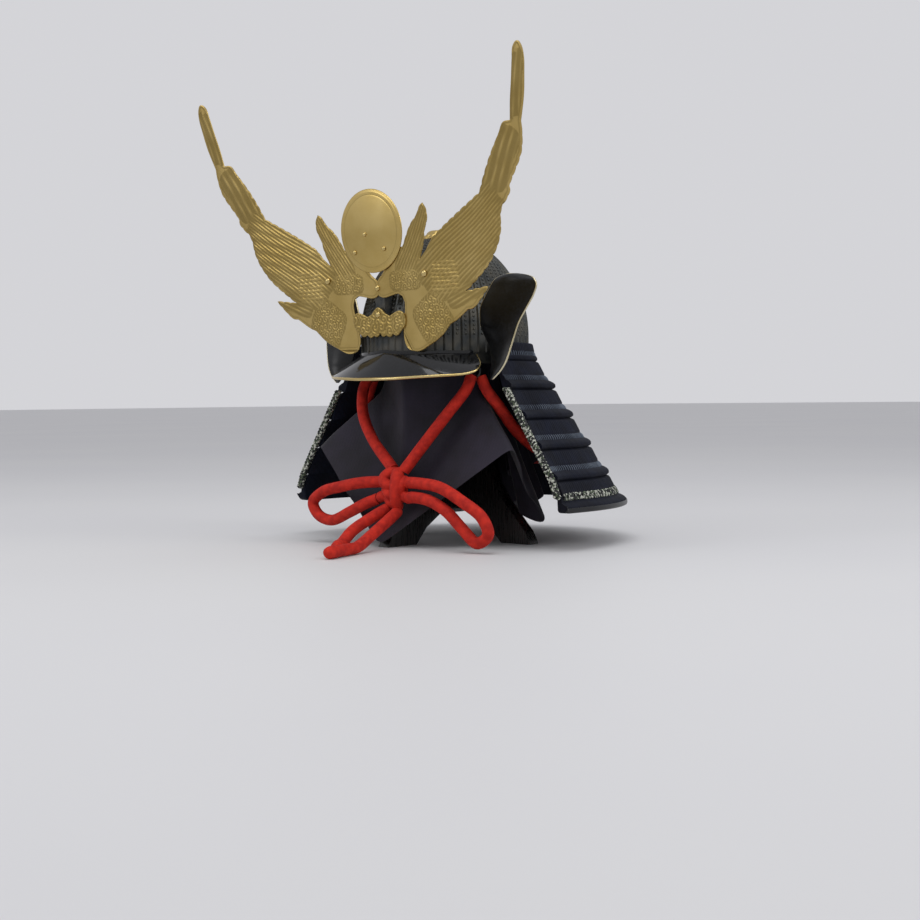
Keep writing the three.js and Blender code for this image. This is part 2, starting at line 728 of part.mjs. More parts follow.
// Stud of each wing, and the two rivets of the middle bar: shares of the crest's half span and height
const wingStudAt = { across: 0.302, rise: 0.277 };
const barRivetRise = 0.238;
const scrollRivetRise = 0.8;
const wingStudX = wingStudAt.across * crestHalfSpan;
const wingStudZ = crestBaseZ + wingStudAt.rise * crestHeight;
bothSides('wing_stud', stud([wings[0]], wingStudX, wingStudZ, studDiameter), 'gilt');
place('base_rivet_upper', stud(wings, 0, crestBaseZ + barRivetRise * crestHeight, rivetDiameter), 'gilt');
place('base_rivet_lower', stud([scroll], 0, scrollBottomZ + scrollRivetRise * scrollHeight, rivetDiameter), 'gilt');

// Three small studs on the disc, at shares of its radius
const discStuds = [
  { across: -0.14, up: -0.085 },
  { across: -0.55, up: -0.49 },
  { across: 0.43, up: -0.46 },
];
discStuds.forEach(({ across, up }, i) => {
  const geometry = stud([crestDisc], across * discRadius, discCentreZ + up * discRadius, discStudDiameter);
  place(`disc_stud_${i + 1}`, geometry, 'gilt');
});

// Stand: outline of one board, from the foot up to the head
const boardContour = [
  { reach: 1.0, height: 0.0 },
  { reach: 0.985, height: 0.017 },
  { reach: 0.944, height: 0.055 },
  { reach: 0.838, height: 0.11 },
  { reach: 0.669, height: 0.197 },
  { reach: 0.507, height: 0.31 },
  { reach: 0.408, height: 0.448 },
  { reach: 0.352, height: 0.69 },
  { reach: 0.352, height: 1.0 },
];
const archContour = [
  { reach: 1.0, rise: 0.0 },
  { reach: 0.77, rise: 0.48 },
  { reach: 0.45, rise: 0.86 },
];
const slotHalf = boardThickness / 2 + gap;

// Right half from the foot up and over, mirrored for the left half, then the arch between the feet
function boardOutline(footReach, slotFromTop) {
  const topZ = headBaseZ - gap;
  const outer = boardContour.map(({ reach, height }) => [reach * footReach, height * topZ]);
  const arch = archContour.map(({ reach, rise }) => [reach * archFootReach, rise * archHeight]);
  const topSlot = slotFromTop ? [[slotHalf, topZ], [slotHalf, lapHeight]] : [];
  const archSlot = slotFromTop ? [] : [[slotHalf, archHeight], [slotHalf, lapHeight + gap]];
  const right = [...outer, ...topSlot];
  const under = [...arch, ...archSlot];
  const left = right.map(([r, z]) => [-r, z]).reverse();
  const underLeft = under.map(([r, z]) => [-r, z]);
  return [...right, ...left, ...underLeft, ...under.reverse()];
}

function board(footReach, slotFromTop) {
  const outline = boardOutline(footReach, slotFromTop).map(([r, z]) => new THREE.Vector2(r, z));
  const shape = new THREE.Shape(outline);
  const geometry = new THREE.ExtrudeGeometry(shape, { depth: boardThickness, steps: 1, bevelEnabled: false });
  geometry.translate(0, 0, -boardThickness / 2);
  geometry.rotateX(Math.PI / 2);
  if (slotFromTop) geometry.rotateZ(Math.PI / 2);
  geometry.translate(0, standCentreY, 0);
  return closedBody(geometry);
}

place('stand_board_long', board(longFootReach, true), 'wood');
place('stand_board_cross', board(crossFootReach, false), 'wood');

// Cloth guide lines, hem to head. azimuth is degrees from +X, grow is the share of the way from the
// head's edge out to the hem's reach at each of the fall shares
const fallShares = [0, 0.25, 0.5, 0.75, 0.9, 1];
const clothGuides = [
  { azimuth: -90, reach: hemReachFront, hemZ: hemZFront, grow: [0, 0.02, 0.03, 0.06, 0.45, 1] },
  { azimuth: -23, reach: hemReachPinch, hemZ: hemZPinch, grow: [0, 0.01, 0.1, 0.55, 0.84, 1] },
  { azimuth: 4, reach: hemReachSide, hemZ: hemZSide, grow: [0, 0.1, 0.35, 0.65, 0.86, 1] },
  { azimuth: 47, reach: hemReachRearPinch, hemZ: hemZRearPinch, grow: [0, 0.1, 0.35, 0.66, 0.88, 1] },
  { azimuth: 90, reach: hemReachRear, hemZ: hemZRear, grow: [0, 0.12, 0.34, 0.62, 0.84, 1] },
];

// Meridians that head and cloth share: up one side from the front corner, and back down the other
const meridianCount = 28;
const meridians = Array.from({ length: meridianCount }, (_, i) => {
  const half = meridianCount / 2;
  const spans = clothGuides.length - 1;
  const along = ((i < half ? i : meridianCount - i) / half) * spans;
  const index = Math.min(spans - 1, Math.floor(along));
  const [from, to] = [clothGuides[index], clothGuides[index + 1]];
  const within = along - index;
  const turn = THREE.MathUtils.lerp(from.azimuth, to.azimuth, within) * degrees;
  return { hand: i < half ? 1 : -1, from, to, within, turn };
});

// Head and cloth share one dome, which meets the bowl round the crown hole
const brink = bowlLevels.at(-1);
const domeElevations = [78, 55, 28];
const clothApex = (brink.z - bowlWall - gap - headBaseZ)
  / Math.sqrt(1 - (crownHoleRadius / headHalfWidth) ** 2);

function domePoint(hand, turn, elevation, inset) {
  const spread = Math.cos(elevation * degrees);
  return vector(
    hand * Math.cos(turn) * (headHalfWidth - inset) * spread,
    bowlAxisY + Math.sin(turn) * (headHalfLength - inset) * spread,
    headBaseZ + Math.sin(elevation * degrees) * (clothApex - inset),
  );
}

function standHead() {
  const inset = clothWall + gap + facetSlack;
  const sections = meridians.map(({ hand, turn }) => {
    const rings = [90, ...domeElevations, 0].map((elevation) => domePoint(hand, turn, elevation, inset));
    return [...rings, vector(0, bowlAxisY, headBaseZ)];
  });
  return loft(sections, true);
}

place('stand_head', standHead(), 'wood');

function guidePoint(guide, share) {
  const next = Math.max(1, fallShares.findIndex((value) => value >= share));
  const part = (share - fallShares[next - 1]) / (fallShares[next] - fallShares[next - 1]);
  const grow = THREE.MathUtils.lerp(guide.grow[next - 1], guide.grow[next], part);
  const turn = guide.azimuth * degrees;
  const start = domePoint(1, turn, 0, 0);
  const headReach = Math.hypot(start.x, start.y - bowlAxisY);
  const reach = THREE.MathUtils.lerp(headReach, guide.reach, grow);
  return vector(
    Math.cos(turn) * reach,
    bowlAxisY + Math.sin(turn) * reach,
    THREE.MathUtils.lerp(headBaseZ, guide.hemZ, share),
  );
}

// Below the head the cloth turns from the head's round plan to flat falls between the guide lines
const flatFrom = 0.45;

function clothPoint({ hand, from, to, within, turn }, share, inset) {
  const flat = guidePoint(from, share).lerp(guidePoint(to, share), within);
  const round = domePoint(1, turn, 0, 0);
  const roundReach = Math.hypot(round.x, round.y - bowlAxisY);
  const flatReach = Math.hypot(flat.x, flat.y - bowlAxisY);
  const blend = Math.min(1, share / flatFrom);
  const direction = Math.atan2(flat.y - bowlAxisY, flat.x);
  const facing = THREE.MathUtils.lerp(turn, direction, blend);
  const reach = Math.max(THREE.MathUtils.lerp(roundReach, flatReach, blend), flatReach) - inset;
  return vector(hand * Math.cos(facing) * reach, bowlAxisY + Math.sin(facing) * reach, flat.z);
}

function cloth() {
  const levels = [0, 0.15, 0.3, 0.47, 0.64, 0.78, 0.9, 1];
  const sections = meridians.map((meridian) => {
    const side = (inset) => [
      ...[90, ...domeElevations].map((elevation) => domePoint(meridian.hand, meridian.turn, elevation, inset)),
      ...levels.map((share) => clothPoint(meridian, share, inset)),
    ];
    return [...side(0), ...side(clothWall).reverse()];
  });
  return loft(sections, true);
}

place('cloth', cloth(), 'cloth');

// Rings under the waist band that the chin cord is tied to
const ringY = bowlAxisY - ringAheadOfAxis;
const ringX = (bowlHalfWidth - bandWall / 2)
  * Math.sqrt(1 - (ringAheadOfAxis / (bowlHalfLength - bandWall / 2)) ** 2);
const ringZ = bowlBaseZ - bandHeight - gap - ringRadius - ringWire / 2;

function cordRing() {
  const geometry = new THREE.TorusGeometry(ringRadius, ringWire / 2, 6, 12);
  geometry.rotateX(Math.PI / 2);
  geometry.translate(ringX, ringY, ringZ);
  return closedBody(geometry);
}

bothSides('cord_ring', cordRing(), 'iron');

function knot() {
  const geometry = new THREE.SphereGeometry(1, 12, 8);
  geometry.rotateX(Math.PI / 2);
  geometry.scale(knotHalfWidth, knotHalfDepth, knotHalfHeight);
  geometry.translate(knotCentre.x, knotCentre.y, knotCentre.z);
  return closedBody(geometry);
}

place('cord_knot', knot(), 'cord');

// Chosen points of the cord, stretch by stretch
const cordRoutes = {
  cord_strand_left: [[92.3, -82.3, 219.4], [91, -90, 204], [72, -106, 172], [49, -119, 139], [21.6, -134.6, 98.6]],
  cord_strand_right: [[-91.8, -82.7, 218.9], [-93, -90, 202], [-78, -106, 171], [-48, -119, 138], [2, -133.3, 99.9]],
  cord_back: [
    [96, -67.1, 218.1], [104, -66, 202], [118, -58, 180], [134, -42, 148], [148, -10, 122], [152, 30, 112],
    [138, 80, 108], [100, 126, 106], [52, 152, 104], [0, 160, 104], [-52, 152, 104], [-100, 126, 106],
    [-138, 80, 108], [-152, 30, 112], [-148, -10, 122], [-134, -42, 148], [-118, -58, 180],
    [-104, -66, 202], [-96, -67.1, 218.1],
  ],
  cord_bow_right: [
    [-6.9, -139.1, 84.3], [-43, -147, 82], [-78, -150, 76], [-112, -150, 68], [-131, -150, 53],
    [-122, -150, 38], [-96, -151, 31], [-62, -151, 43], [-34, -149, 55], [-16.4, -143.6, 61.9],
  ],
  cord_bow_left: [
    [28.5, -138.8, 84], [60, -147, 84], [96, -150, 80], [132, -150, 64], [163, -148, 44], [170, -146, 24],
    [152, -146, 13], [130, -148, 30], [108, -151, 50], [80, -152, 63], [50, -149, 66], [38.5, -144.3, 64.6],
  ],
  cord_tail_front: [
    [19.8, -141, 49.7], [21, -168, 35], [24, -200, 20], [32, -232, 9], [38, -256, 8], [45, -284, 8],
    [50, -304, 8],
  ],
  cord_tail_rear: [
    [3.1, -141.6, 51.9], [-4, -170, 39], [-12, -196, 24], [-11, -216, 10], [-1, -234, 8], [14, -250, 8],
  ],
};
const cordStep = 2.6 * cordDiameter;
Object.entries(cordRoutes).forEach(([name, route]) => {
  const points = route.map(([x, y, z]) => vector(x, y, z));
  const length = new THREE.CatmullRomCurve3(points).getLength();
  place(name, tube(points, cordDiameter, 8, Math.max(4, Math.round(length / cordStep))), 'cord');
});

// The origin is under the middle of the hard and draped pieces, without the cord
const corded = Object.keys(cordRoutes).concat('cord_knot');
const extent = new THREE.Box3();
helmet.children.filter((mesh) => !corded.includes(mesh.name)).forEach((mesh) => extent.expandByObject(mesh));
helmet.position.y = -(extent.min.y + extent.max.y) / 2;

export default helmet;
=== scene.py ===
import math

import bmesh
import bpy
import numpy as np
from mathutils import Matrix, Vector
from mathutils.geometry import delaunay_2d_cdt


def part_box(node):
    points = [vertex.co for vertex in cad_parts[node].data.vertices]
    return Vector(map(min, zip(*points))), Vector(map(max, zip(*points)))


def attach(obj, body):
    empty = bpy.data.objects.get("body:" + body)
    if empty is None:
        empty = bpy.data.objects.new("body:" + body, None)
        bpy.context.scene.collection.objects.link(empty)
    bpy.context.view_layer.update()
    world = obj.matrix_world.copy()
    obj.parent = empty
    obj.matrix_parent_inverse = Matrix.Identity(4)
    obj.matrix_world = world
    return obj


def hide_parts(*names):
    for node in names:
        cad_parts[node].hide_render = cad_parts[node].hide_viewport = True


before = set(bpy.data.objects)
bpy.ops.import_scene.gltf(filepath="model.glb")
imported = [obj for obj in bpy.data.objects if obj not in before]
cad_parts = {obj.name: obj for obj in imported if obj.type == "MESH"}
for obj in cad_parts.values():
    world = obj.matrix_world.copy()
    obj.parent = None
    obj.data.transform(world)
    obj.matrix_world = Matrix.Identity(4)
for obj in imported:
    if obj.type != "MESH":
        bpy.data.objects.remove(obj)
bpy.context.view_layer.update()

# Lengths below are in millimetres in the helmet's own frame, and toWorld turns them into the frame's metres
millimetre = 0.001
bowl = {
    "axisY": -26.0, "halfWidth": 105.0, "halfLength": 118.0, "baseZ": 250.0, "upright": 25.0,
    "domeHeight": 133.0, "wall": 2.5, "plates": 62, "holeRadius": 17.0,
    "ribHeight": 1.9, "ribShare": 0.12, "rivetPitch": 5.6, "rivetRadius": 1.9, "plainFoot": 24.0,
    "plainTop": 16.0, "ribFoot": 0.06, "rows": 58, "plateSteps": 8, "quickSteps": 6,
    "rivetSides": 6, "rivetRings": ((1.0, -0.1), (0.88, 0.42), (0.45, 0.78)), "rivetCrowding": 0.3,
}
bowlLow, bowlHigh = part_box("bowl")
shiftY = (bowlLow.y + bowlHigh.y) / 2 - bowl["axisY"] * millimetre
fine = 1.0


def toWorld(points):
    return np.asarray(points, dtype=float) * millimetre + np.array([0.0, shiftY, 0.0])


def srgb(hexText):
    channels = [int(hexText[i:i + 2], 16) / 255 for i in (1, 3, 5)]
    linear = [c / 12.92 if c <= 0.04045 else ((c + 0.055) / 1.055) ** 2.4 for c in channels]
    return (*linear, 1.0)


def patternScale(size):
    return 1 / (size * millimetre)     # a texture repeats about once in this many millimetres


def addNode(tree, kind, sockets=None, **settings):
    node = tree.nodes.new("ShaderNode" + kind)
    for name, value in settings.items():
        setattr(node, name, value)
    for socket, value in (sockets or {}).items():
        if isinstance(value, bpy.types.NodeSocket):
            tree.links.new(value, node.inputs[socket])
        else:
            node.inputs[socket].default_value = value
    return node


def newMaterial(name):
    material = bpy.data.materials.new(name)
    material.use_nodes = True
    tree = material.node_tree
    tree.nodes.clear()
    return material, tree, addNode(tree, "TexCoord").outputs["Object"]


def blendColours(tree, share, low, high):
    # Two hex colours or sockets, mixed by a share
    mix = addNode(tree, "Mix", {0: share}, data_type="RGBA")
    for socket, value in ((mix.inputs[6], low), (mix.inputs[7], high)):
        if isinstance(value, str):
            socket.default_value = srgb(value)
        else:
            tree.links.new(value, socket)
    return mix.outputs[2]


def spread(tree, value, low, high, toLow=0.0, toHigh=1.0):
    sockets = {"Value": value, "From Min": low, "From Max": high, "To Min": toLow, "To Max": toHigh}
    return addNode(tree, "MapRange", sockets).outputs["Result"]


def noise(tree, spot, size, detail, **more):
    # Cloudy texture whose patches are about a size in millimetres
    sockets = {"Vector": spot, "Scale": patternScale(size), "Detail": detail, **more}
    return addNode(tree, "TexNoise", sockets).outputs[0]


def bands(tree, spot, size, direction, **more):
    # Even threads a size in millimetres apart. Blender's wave texture has twenty bands to its unit
    sockets = {"Vector": spot, "Scale": patternScale(size) / 20, **more}
    return addNode(tree, "TexWave", sockets, bands_direction=direction).outputs[1]


def closeMaterial(tree, sockets, height=None, depth=0.2, underNormal=None):
    # Principled surface with a bump of a depth in millimetres
    shader = addNode(tree, "BsdfPrincipled", sockets)
    if height is not None:
        bump = addNode(tree, "Bump", {"Height": height, "Distance": depth * millimetre, "Strength": 1.0})
        if underNormal is not None:
            tree.links.new(underNormal, bump.inputs["Normal"])
        tree.links.new(bump.outputs["Normal"], shader.inputs["Normal"])
    output = addNode(tree, "OutputMaterial")
    tree.links.new(shader.outputs["BSDF"], output.inputs["Surface"])


def russetIron():
    # Forged iron under thin rust-brown lacquer: dark and satin, a little browner and rougher in patches
    material, tree, spot = newMaterial("russetLacqueredIron")
    patches = noise(tree, spot, 14, 5.0)
    grit = noise(tree, spot, 1.2, 3.0)
    closeMaterial(tree, {
        "Base Color": blendColours(tree, spread(tree, patches, 0.38, 0.66), "#383b3b", "#514f48"),
        "Metallic": 0.55, "Roughness": spread(tree, patches, 0.3, 0.7, 0.33, 0.46),
    }, grit, 0.05)
    return material


def blackLacquer(name, roughness, coat):
    # Black urushi over iron, polished or satin: deep black, with the faint waviness of a brushed coat
    material, tree, spot = newMaterial(name)
    wave = noise(tree, spot, 16, 1.0)
    dust = noise(tree, spot, 3, 8.0)
    closeMaterial(tree, {
        "Base Color": blendColours(tree, spread(tree, dust, 0.45, 0.75), "#08090b", "#14161a"),
        "Roughness": spread(tree, dust, 0.35, 0.75, roughness, roughness + 0.08),
        "IOR": 1.5, "Specular IOR Level": 0.35, "Coat Weight": coat, "Coat Roughness": 0.05,
    }, wave, 0.12)
    return material


def giltCopper(name, low, high, roughness, hammering=0.045):
    # Copper sheet, chased and mercury gilt, then brushed: satin gold, darkened by painted shade in the
    # tooled lows
    material, tree, spot = newMaterial(name)
    mottle = noise(tree, spot, 38, 4.0)
    hammer = noise(tree, spot, 1.6, 4.0)
    # painted shade: a per-point share that darkens the gold towards #7b6838 in the tooled lows
    paintedShade = addNode(tree, "Attribute", attribute_name="paintedShade").outputs["Fac"]
    plain = blendColours(tree, spread(tree, mottle, 0.35, 0.7), low, high)
    closeMaterial(tree, {
        "Base Color": blendColours(tree, paintedShade, plain, "#7b6838"),
        "Metallic": 1.0, "Roughness": spread(tree, mottle, 0.3, 0.7, roughness, roughness + 0.06),
    }, hammer, hammering)
    return material


def silkLacing(name, low, high, thread=0.9):
    # Flat braided silk, dyed dark: matt, its braid drawn as short slanted threads
    material, tree, spot = newMaterial(name)
    wander = {"Distortion": 2.5, "Detail": 2.0, "Detail Scale": 4.0}
    threads = bands(tree, spot, thread, "DIAGONAL", **wander)
    fade = noise(tree, spot, 22, 5.0)
    shade = blendColours(tree, spread(tree, fade, 0.35, 0.7), low, high)
    closeMaterial(tree, {
        "Base Color": shade, "Roughness": 0.78, "IOR": 1.5, "Specular IOR Level": 0.2,
    }, threads, 0.12)
    return material


def speckledBraid():
    # Silk braid of white, leaf green and black threads: hard-edged flecks, about 2.5 mm each
    material, tree, spot = newMaterial("speckledSilkBraid")
    flecks = addNode(tree, "TexVoronoi", {"Vector": spot, "Scale": patternScale(2.6)}).outputs["Color"]
    parts = addNode(tree, "SeparateColor", {"Color": flecks}).outputs
    isWhite = addNode(tree, "Math", {0: parts[0], 1: 0.72}, operation="GREATER_THAN").outputs[0]
    isGreen = addNode(tree, "Math", {0: parts[1], 1: 0.7}, operation="GREATER_THAN").outputs[0]
    darks = blendColours(tree, isGreen, "#0c0e10", "#46523c")
    threads = noise(tree, spot, 0.7, 2.0)
    closeMaterial(tree, {
        "Base Color": blendColours(tree, isWhite, darks, "#aeb0a4"), "Roughness": 0.8, "IOR": 1.5,
        "Sheen Weight": 0.1,
    }, threads, 0.15)
    return material


def redCrepe():
    # Padded silk crepe, piece dyed: saturated red, matt, crinkled in fine cross grain about 1.5 mm apart
    material, tree, spot = newMaterial("redSilkCrepe")
    crinkle = noise(tree, spot, 1.8, 4.0, Roughness=0.6, Distortion=0.6)
    fade = noise(tree, spot, 9, 3.0)
    closeMaterial(tree, {
        "Base Color": blendColours(tree, spread(tree, fade, 0.35, 0.65), "#9f1a10", "#c02818"),
        "Roughness": 0.82, "IOR": 1.5, "Specular IOR Level": 0.3,
        "Subsurface Weight": 0.04, "Subsurface Scale": 0.002,
    }, crinkle, 0.35)
    return material


def purpleCloth():
    # Plain woven silk and cotton cloth, dyed dark purple: soft sheen, a weave of about 0.8 mm drawn coarse
    material, tree, spot = newMaterial("purplePlainWeave")
    across, upward = bands(tree, spot, 0.8, "X"), bands(tree, spot, 0.8, "Z")
    weave = addNode(tree, "Math", {0: across, 1: upward}, operation="MULTIPLY").outputs[0]
    fade = noise(tree, spot, 45, 4.0)
    closeMaterial(tree, {
        "Base Color": blendColours(tree, spread(tree, fade, 0.35, 0.65), "#15121b", "#211c2a"),
        "Roughness": 0.72, "IOR": 1.5, "Specular IOR Level": 0.3,
        "Sheen Weight": 0.1, "Sheen Roughness": 0.45,
    }, weave, 0.08)
    return material


def lacqueredWood():
    # Turned and sawn wood under black lacquer: near black, half gloss, a trace of long grain under the coat
    material, tree, spot = newMaterial("blackLacqueredWood")
    stretched = addNode(tree, "Mapping", {"Vector": spot, "Scale": (1.0, 1.0, 0.08)}).outputs[0]
    grain = noise(tree, stretched, 2.5, 5.0)
    closeMaterial(tree, {
        "Base Color": blendColours(tree, spread(tree, grain, 0.35, 0.7), "#0c0b0b", "#1a1715"),
        "Roughness": spread(tree, grain, 0.3, 0.7, 0.22, 0.36), "IOR": 1.5,
    }, grain, 0.05)
    return material


finishes = {
    "iron": russetIron(),
    "lacquer": blackLacquer("polishedBlackUrushi", 0.08, 0.2),
    "satinLacquer": blackLacquer("satinBlackUrushi", 0.3, 0.0),
    "gilt": giltCopper("chasedGiltCopper", "#b0975a", "#bfa76b", 0.36, 0.03),
    "giltDisc": giltCopper("brushedGiltDisc", "#bda362", "#c8b073", 0.3, 0.012),
    "giltRim": giltCopper("polishedGiltRim", "#bfa86c", "#cfbb86", 0.22, 0.0),
    "paleRim": giltCopper("wornGiltRim", "#c3b896", "#d2c9ac", 0.26, 0.0),
    "lacing": silkLacing("navySilkLacing", "#070a15", "#0f1424"),
    "stitch": silkLacing("greySilkStitch", "#4c535f", "#717a86", 0.6),
    "speckled": speckledBraid(),
    "cord": redCrepe(),
    "cloth": purpleCloth(),
    "wood": lacqueredWood(),
}
print("materials made:", len(finishes))


def addPiece(name, points, faces, finish, slot, nodes=(), sharpAngle=50, paintedShade=None):
    mesh = bpy.data.meshes.new(name)
    faces = faces.tolist() if isinstance(faces, np.ndarray) else faces
    mesh.from_pydata(toWorld(points).tolist(), [], faces)
    # painted shade for the gilt pieces, kept as a per-point attribute
    if paintedShade is not None:
        mesh.attributes.new("paintedShade", "FLOAT", "POINT").data.foreach_set("value", paintedShade)
    tidy = bmesh.new()
    tidy.from_mesh(mesh)
    bmesh.ops.recalc_face_normals(tidy, faces=tidy.faces)
    tidy.to_mesh(mesh)
    tidy.free()
    mesh.shade_smooth()
    mesh.set_sharp_from_angle(angle=math.radians(sharpAngle))
    mesh.materials.append(finishes[finish])
    piece = bpy.data.objects.new(name, mesh)
    bpy.context.scene.collection.objects.link(piece)
    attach(piece, "root")
    if nodes:
        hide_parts(*nodes)
    return piece


def joined(parts):
    points, faces, start = [], [], 0
    for partPoints, partFaces in parts:
        points.append(np.asarray(partPoints))
        faces.extend([[start + int(i) for i in face] for face in partFaces])
        start += len(partPoints)
    return np.vstack(points), faces


def gridFaces(rows, columns, wrapRows=False, wrapColumns=False):
    index = np.arange(rows * columns).reshape(rows, columns)
    if wrapRows:
        index = np.vstack([index, index[:1]])
    if wrapColumns:
        index = np.hstack([index, index[:, :1]])
    return np.stack([index[:-1, :-1], index[1:, :-1], index[1:, 1:], index[:-1, 1:]], -1).reshape(-1, 4)


def lofted(section):
    # Closed body from one closed section a station, capped at both ends
    stations, count = section.shape[:2]
    last = (stations - 1) * count
    faces = gridFaces(stations, count, wrapColumns=True).tolist()
    return section.reshape(-1, 3), faces + [list(range(count))[::-1], list(range(last, last + count))]


def slab(front, back, wrap=False):
    # Closed sheet between two grids of points, joined round their open edges
    rows, columns = front.shape[:2]
    count = rows * columns
    skin = gridFaces(rows, columns, wrapColumns=wrap)
    index = np.arange(count).reshape(rows, columns)
    if wrap:
        index = np.hstack([index, index[:, :1]])
    edges = [index[0], index[-1]] if wrap else [index[0], index[-1], index[:, 0], index[:, -1]]
    sides = [np.stack([e[:-1], e[1:], e[1:] + count, e[:-1] + count], -1) for e in edges]
    faces = np.vstack([skin, skin[:, ::-1] + count, *sides])
    return np.vstack([front.reshape(-1, 3), back.reshape(-1, 3)]), faces


def unit(vectors):
    return vectors / np.maximum(np.linalg.norm(vectors, axis=-1, keepdims=True), 1e-9)


def smoothRow(shares, values, at):
    # Cubic curve through a table's rows that never overshoots them
    shares, values, at = (np.asarray(row, dtype=float) for row in (shares, values, at))
    steps = np.diff(shares)
    rises = np.diff(values) / steps
    slopes = np.zeros(len(values))
    same = rises[:-1] * rises[1:] > 0
    slopes[1:-1][same] = 2 / (1 / rises[:-1][same] + 1 / rises[1:][same])
    slopes[0], slopes[-1] = rises[0], rises[-1]
    k = np.clip(np.searchsorted(shares, at, side="right") - 1, 0, len(steps) - 1)
    t = (at - shares[k]) / steps[k]
    return (values[k] * (1 + 2 * t) * (1 - t) ** 2 + values[k + 1] * t ** 2 * (3 - 2 * t)
            + steps[k] * (slopes[k] * t * (1 - t) ** 2 - slopes[k + 1] * t ** 2 * (1 - t)))


def throughPoints(route, spacing):
    # Centripetal curve through chosen points, cut to even steps
    route = np.asarray(route, dtype=float)
    ends = np.vstack([2 * route[0] - route[1], route, 2 * route[-1] - route[-2]])
    dense = []
    for p0, p1, p2, p3 in zip(ends[:-3], ends[1:-2], ends[2:-1], ends[3:]):
        t1 = np.linalg.norm(p1 - p0) ** 0.5
        t2 = t1 + np.linalg.norm(p2 - p1) ** 0.5
        t3 = t2 + np.linalg.norm(p3 - p2) ** 0.5
        t = np.linspace(t1, t2, 24, endpoint=False)[:, None]
        a1 = (t1 - t) / t1 * p0 + t / t1 * p1
        a2 = (t2 - t) / (t2 - t1) * p1 + (t - t1) / (t2 - t1) * p2
        a3 = (t3 - t) / (t3 - t2) * p2 + (t - t2) / (t3 - t2) * p3
        b1 = (t2 - t) / t2 * a1 + t / t2 * a2
        b2 = (t3 - t) / (t3 - t1) * a2 + (t - t1) / (t3 - t1) * a3
        dense.append((t2 - t) / (t2 - t1) * b1 + (t - t1) / (t2 - t1) * b2)
    dense = np.vstack([*dense, route[-1:]])
    return evenSteps(dense, spacing)


def runAlong(path):
    return np.concatenate([[0.0], np.cumsum(np.linalg.norm(np.diff(path, axis=0), axis=1))])


def evenSteps(dense, spacing):
    run = runAlong(dense)
    at = np.linspace(0, run[-1], max(2, round(run[-1] / spacing)) + 1)
    return np.stack([np.interp(at, run, dense[:, k]) for k in range(3)], -1)


def pathLength(path):
    return float(runAlong(path)[-1])


def tube(path, radius, sides, ripple=None, up=(0.0, 0.0, 1.0)):
    # Round body along a path. ripple gives the radius a factor from the run along it and the turn round it
    path = np.asarray(path, dtype=float)
    tangents = unit(np.gradient(path, axis=0))
    normal = unit(np.cross(tangents[0], np.cross(np.array(up), tangents[0]) + 1e-6))
    normals = []
    for tangent in tangents:
        normal = unit(normal - tangent * np.dot(normal, tangent))
        normals.append(normal)
    normals = np.array(normals)
    sideways = np.cross(tangents, normals)
    turn = np.arange(sides) / sides * 2 * math.pi
    run = runAlong(path)
    size = np.broadcast_to(np.asarray(radius, dtype=float), (len(path),))[:, None] * np.ones(sides)
    if ripple is not None:
        size = size * ripple(run[:, None], turn[None, :])
    return lofted(path[:, None] + size[..., None] * (np.cos(turn)[None, :, None] * normals[:, None]
                                                     + np.sin(turn)[None, :, None] * sideways[:, None]))


def roundedEnds(path, radius, atStart=True, atEnd=True):
    # Radius along a path, drawn in to a dome at its free ends
    run = runAlong(path)
    size = np.full(len(path), float(radius))
    for wanted, distance in ((atStart, run), (atEnd, run[-1] - run)):
        if wanted:
            inside = np.clip(distance / radius, 0.0, 1.0)
            size *= np.maximum(0.12, np.sqrt(1 - (1 - inside) ** 2))
    return size


# The camera stands where the photograph's stood
cameraView = {
    "place": (1.33873, -1.56888, 0.18954), "yaw": 40.51, "pitch": 2.29, "roll": -0.56, "lens": 59.13,
}


def addCamera():
    lens = bpy.data.cameras.new("viewCamera")
    lens.lens = cameraView["lens"]
    camera = bpy.data.objects.new("viewCamera", lens)
    yaw, pitch, roll = (math.radians(cameraView[key]) for key in ("yaw", "pitch", "roll"))
    camera.matrix_world = (
        Matrix.Translation(cameraView["place"]) @ Matrix.Rotation(yaw, 4, "Z")
        @ Matrix.Rotation(math.pi / 2 - pitch, 4, "X") @ Matrix.Rotation(roll, 4, "Z"))
    bpy.context.scene.collection.objects.link(camera)
    bpy.context.scene.camera = camera


addCamera()

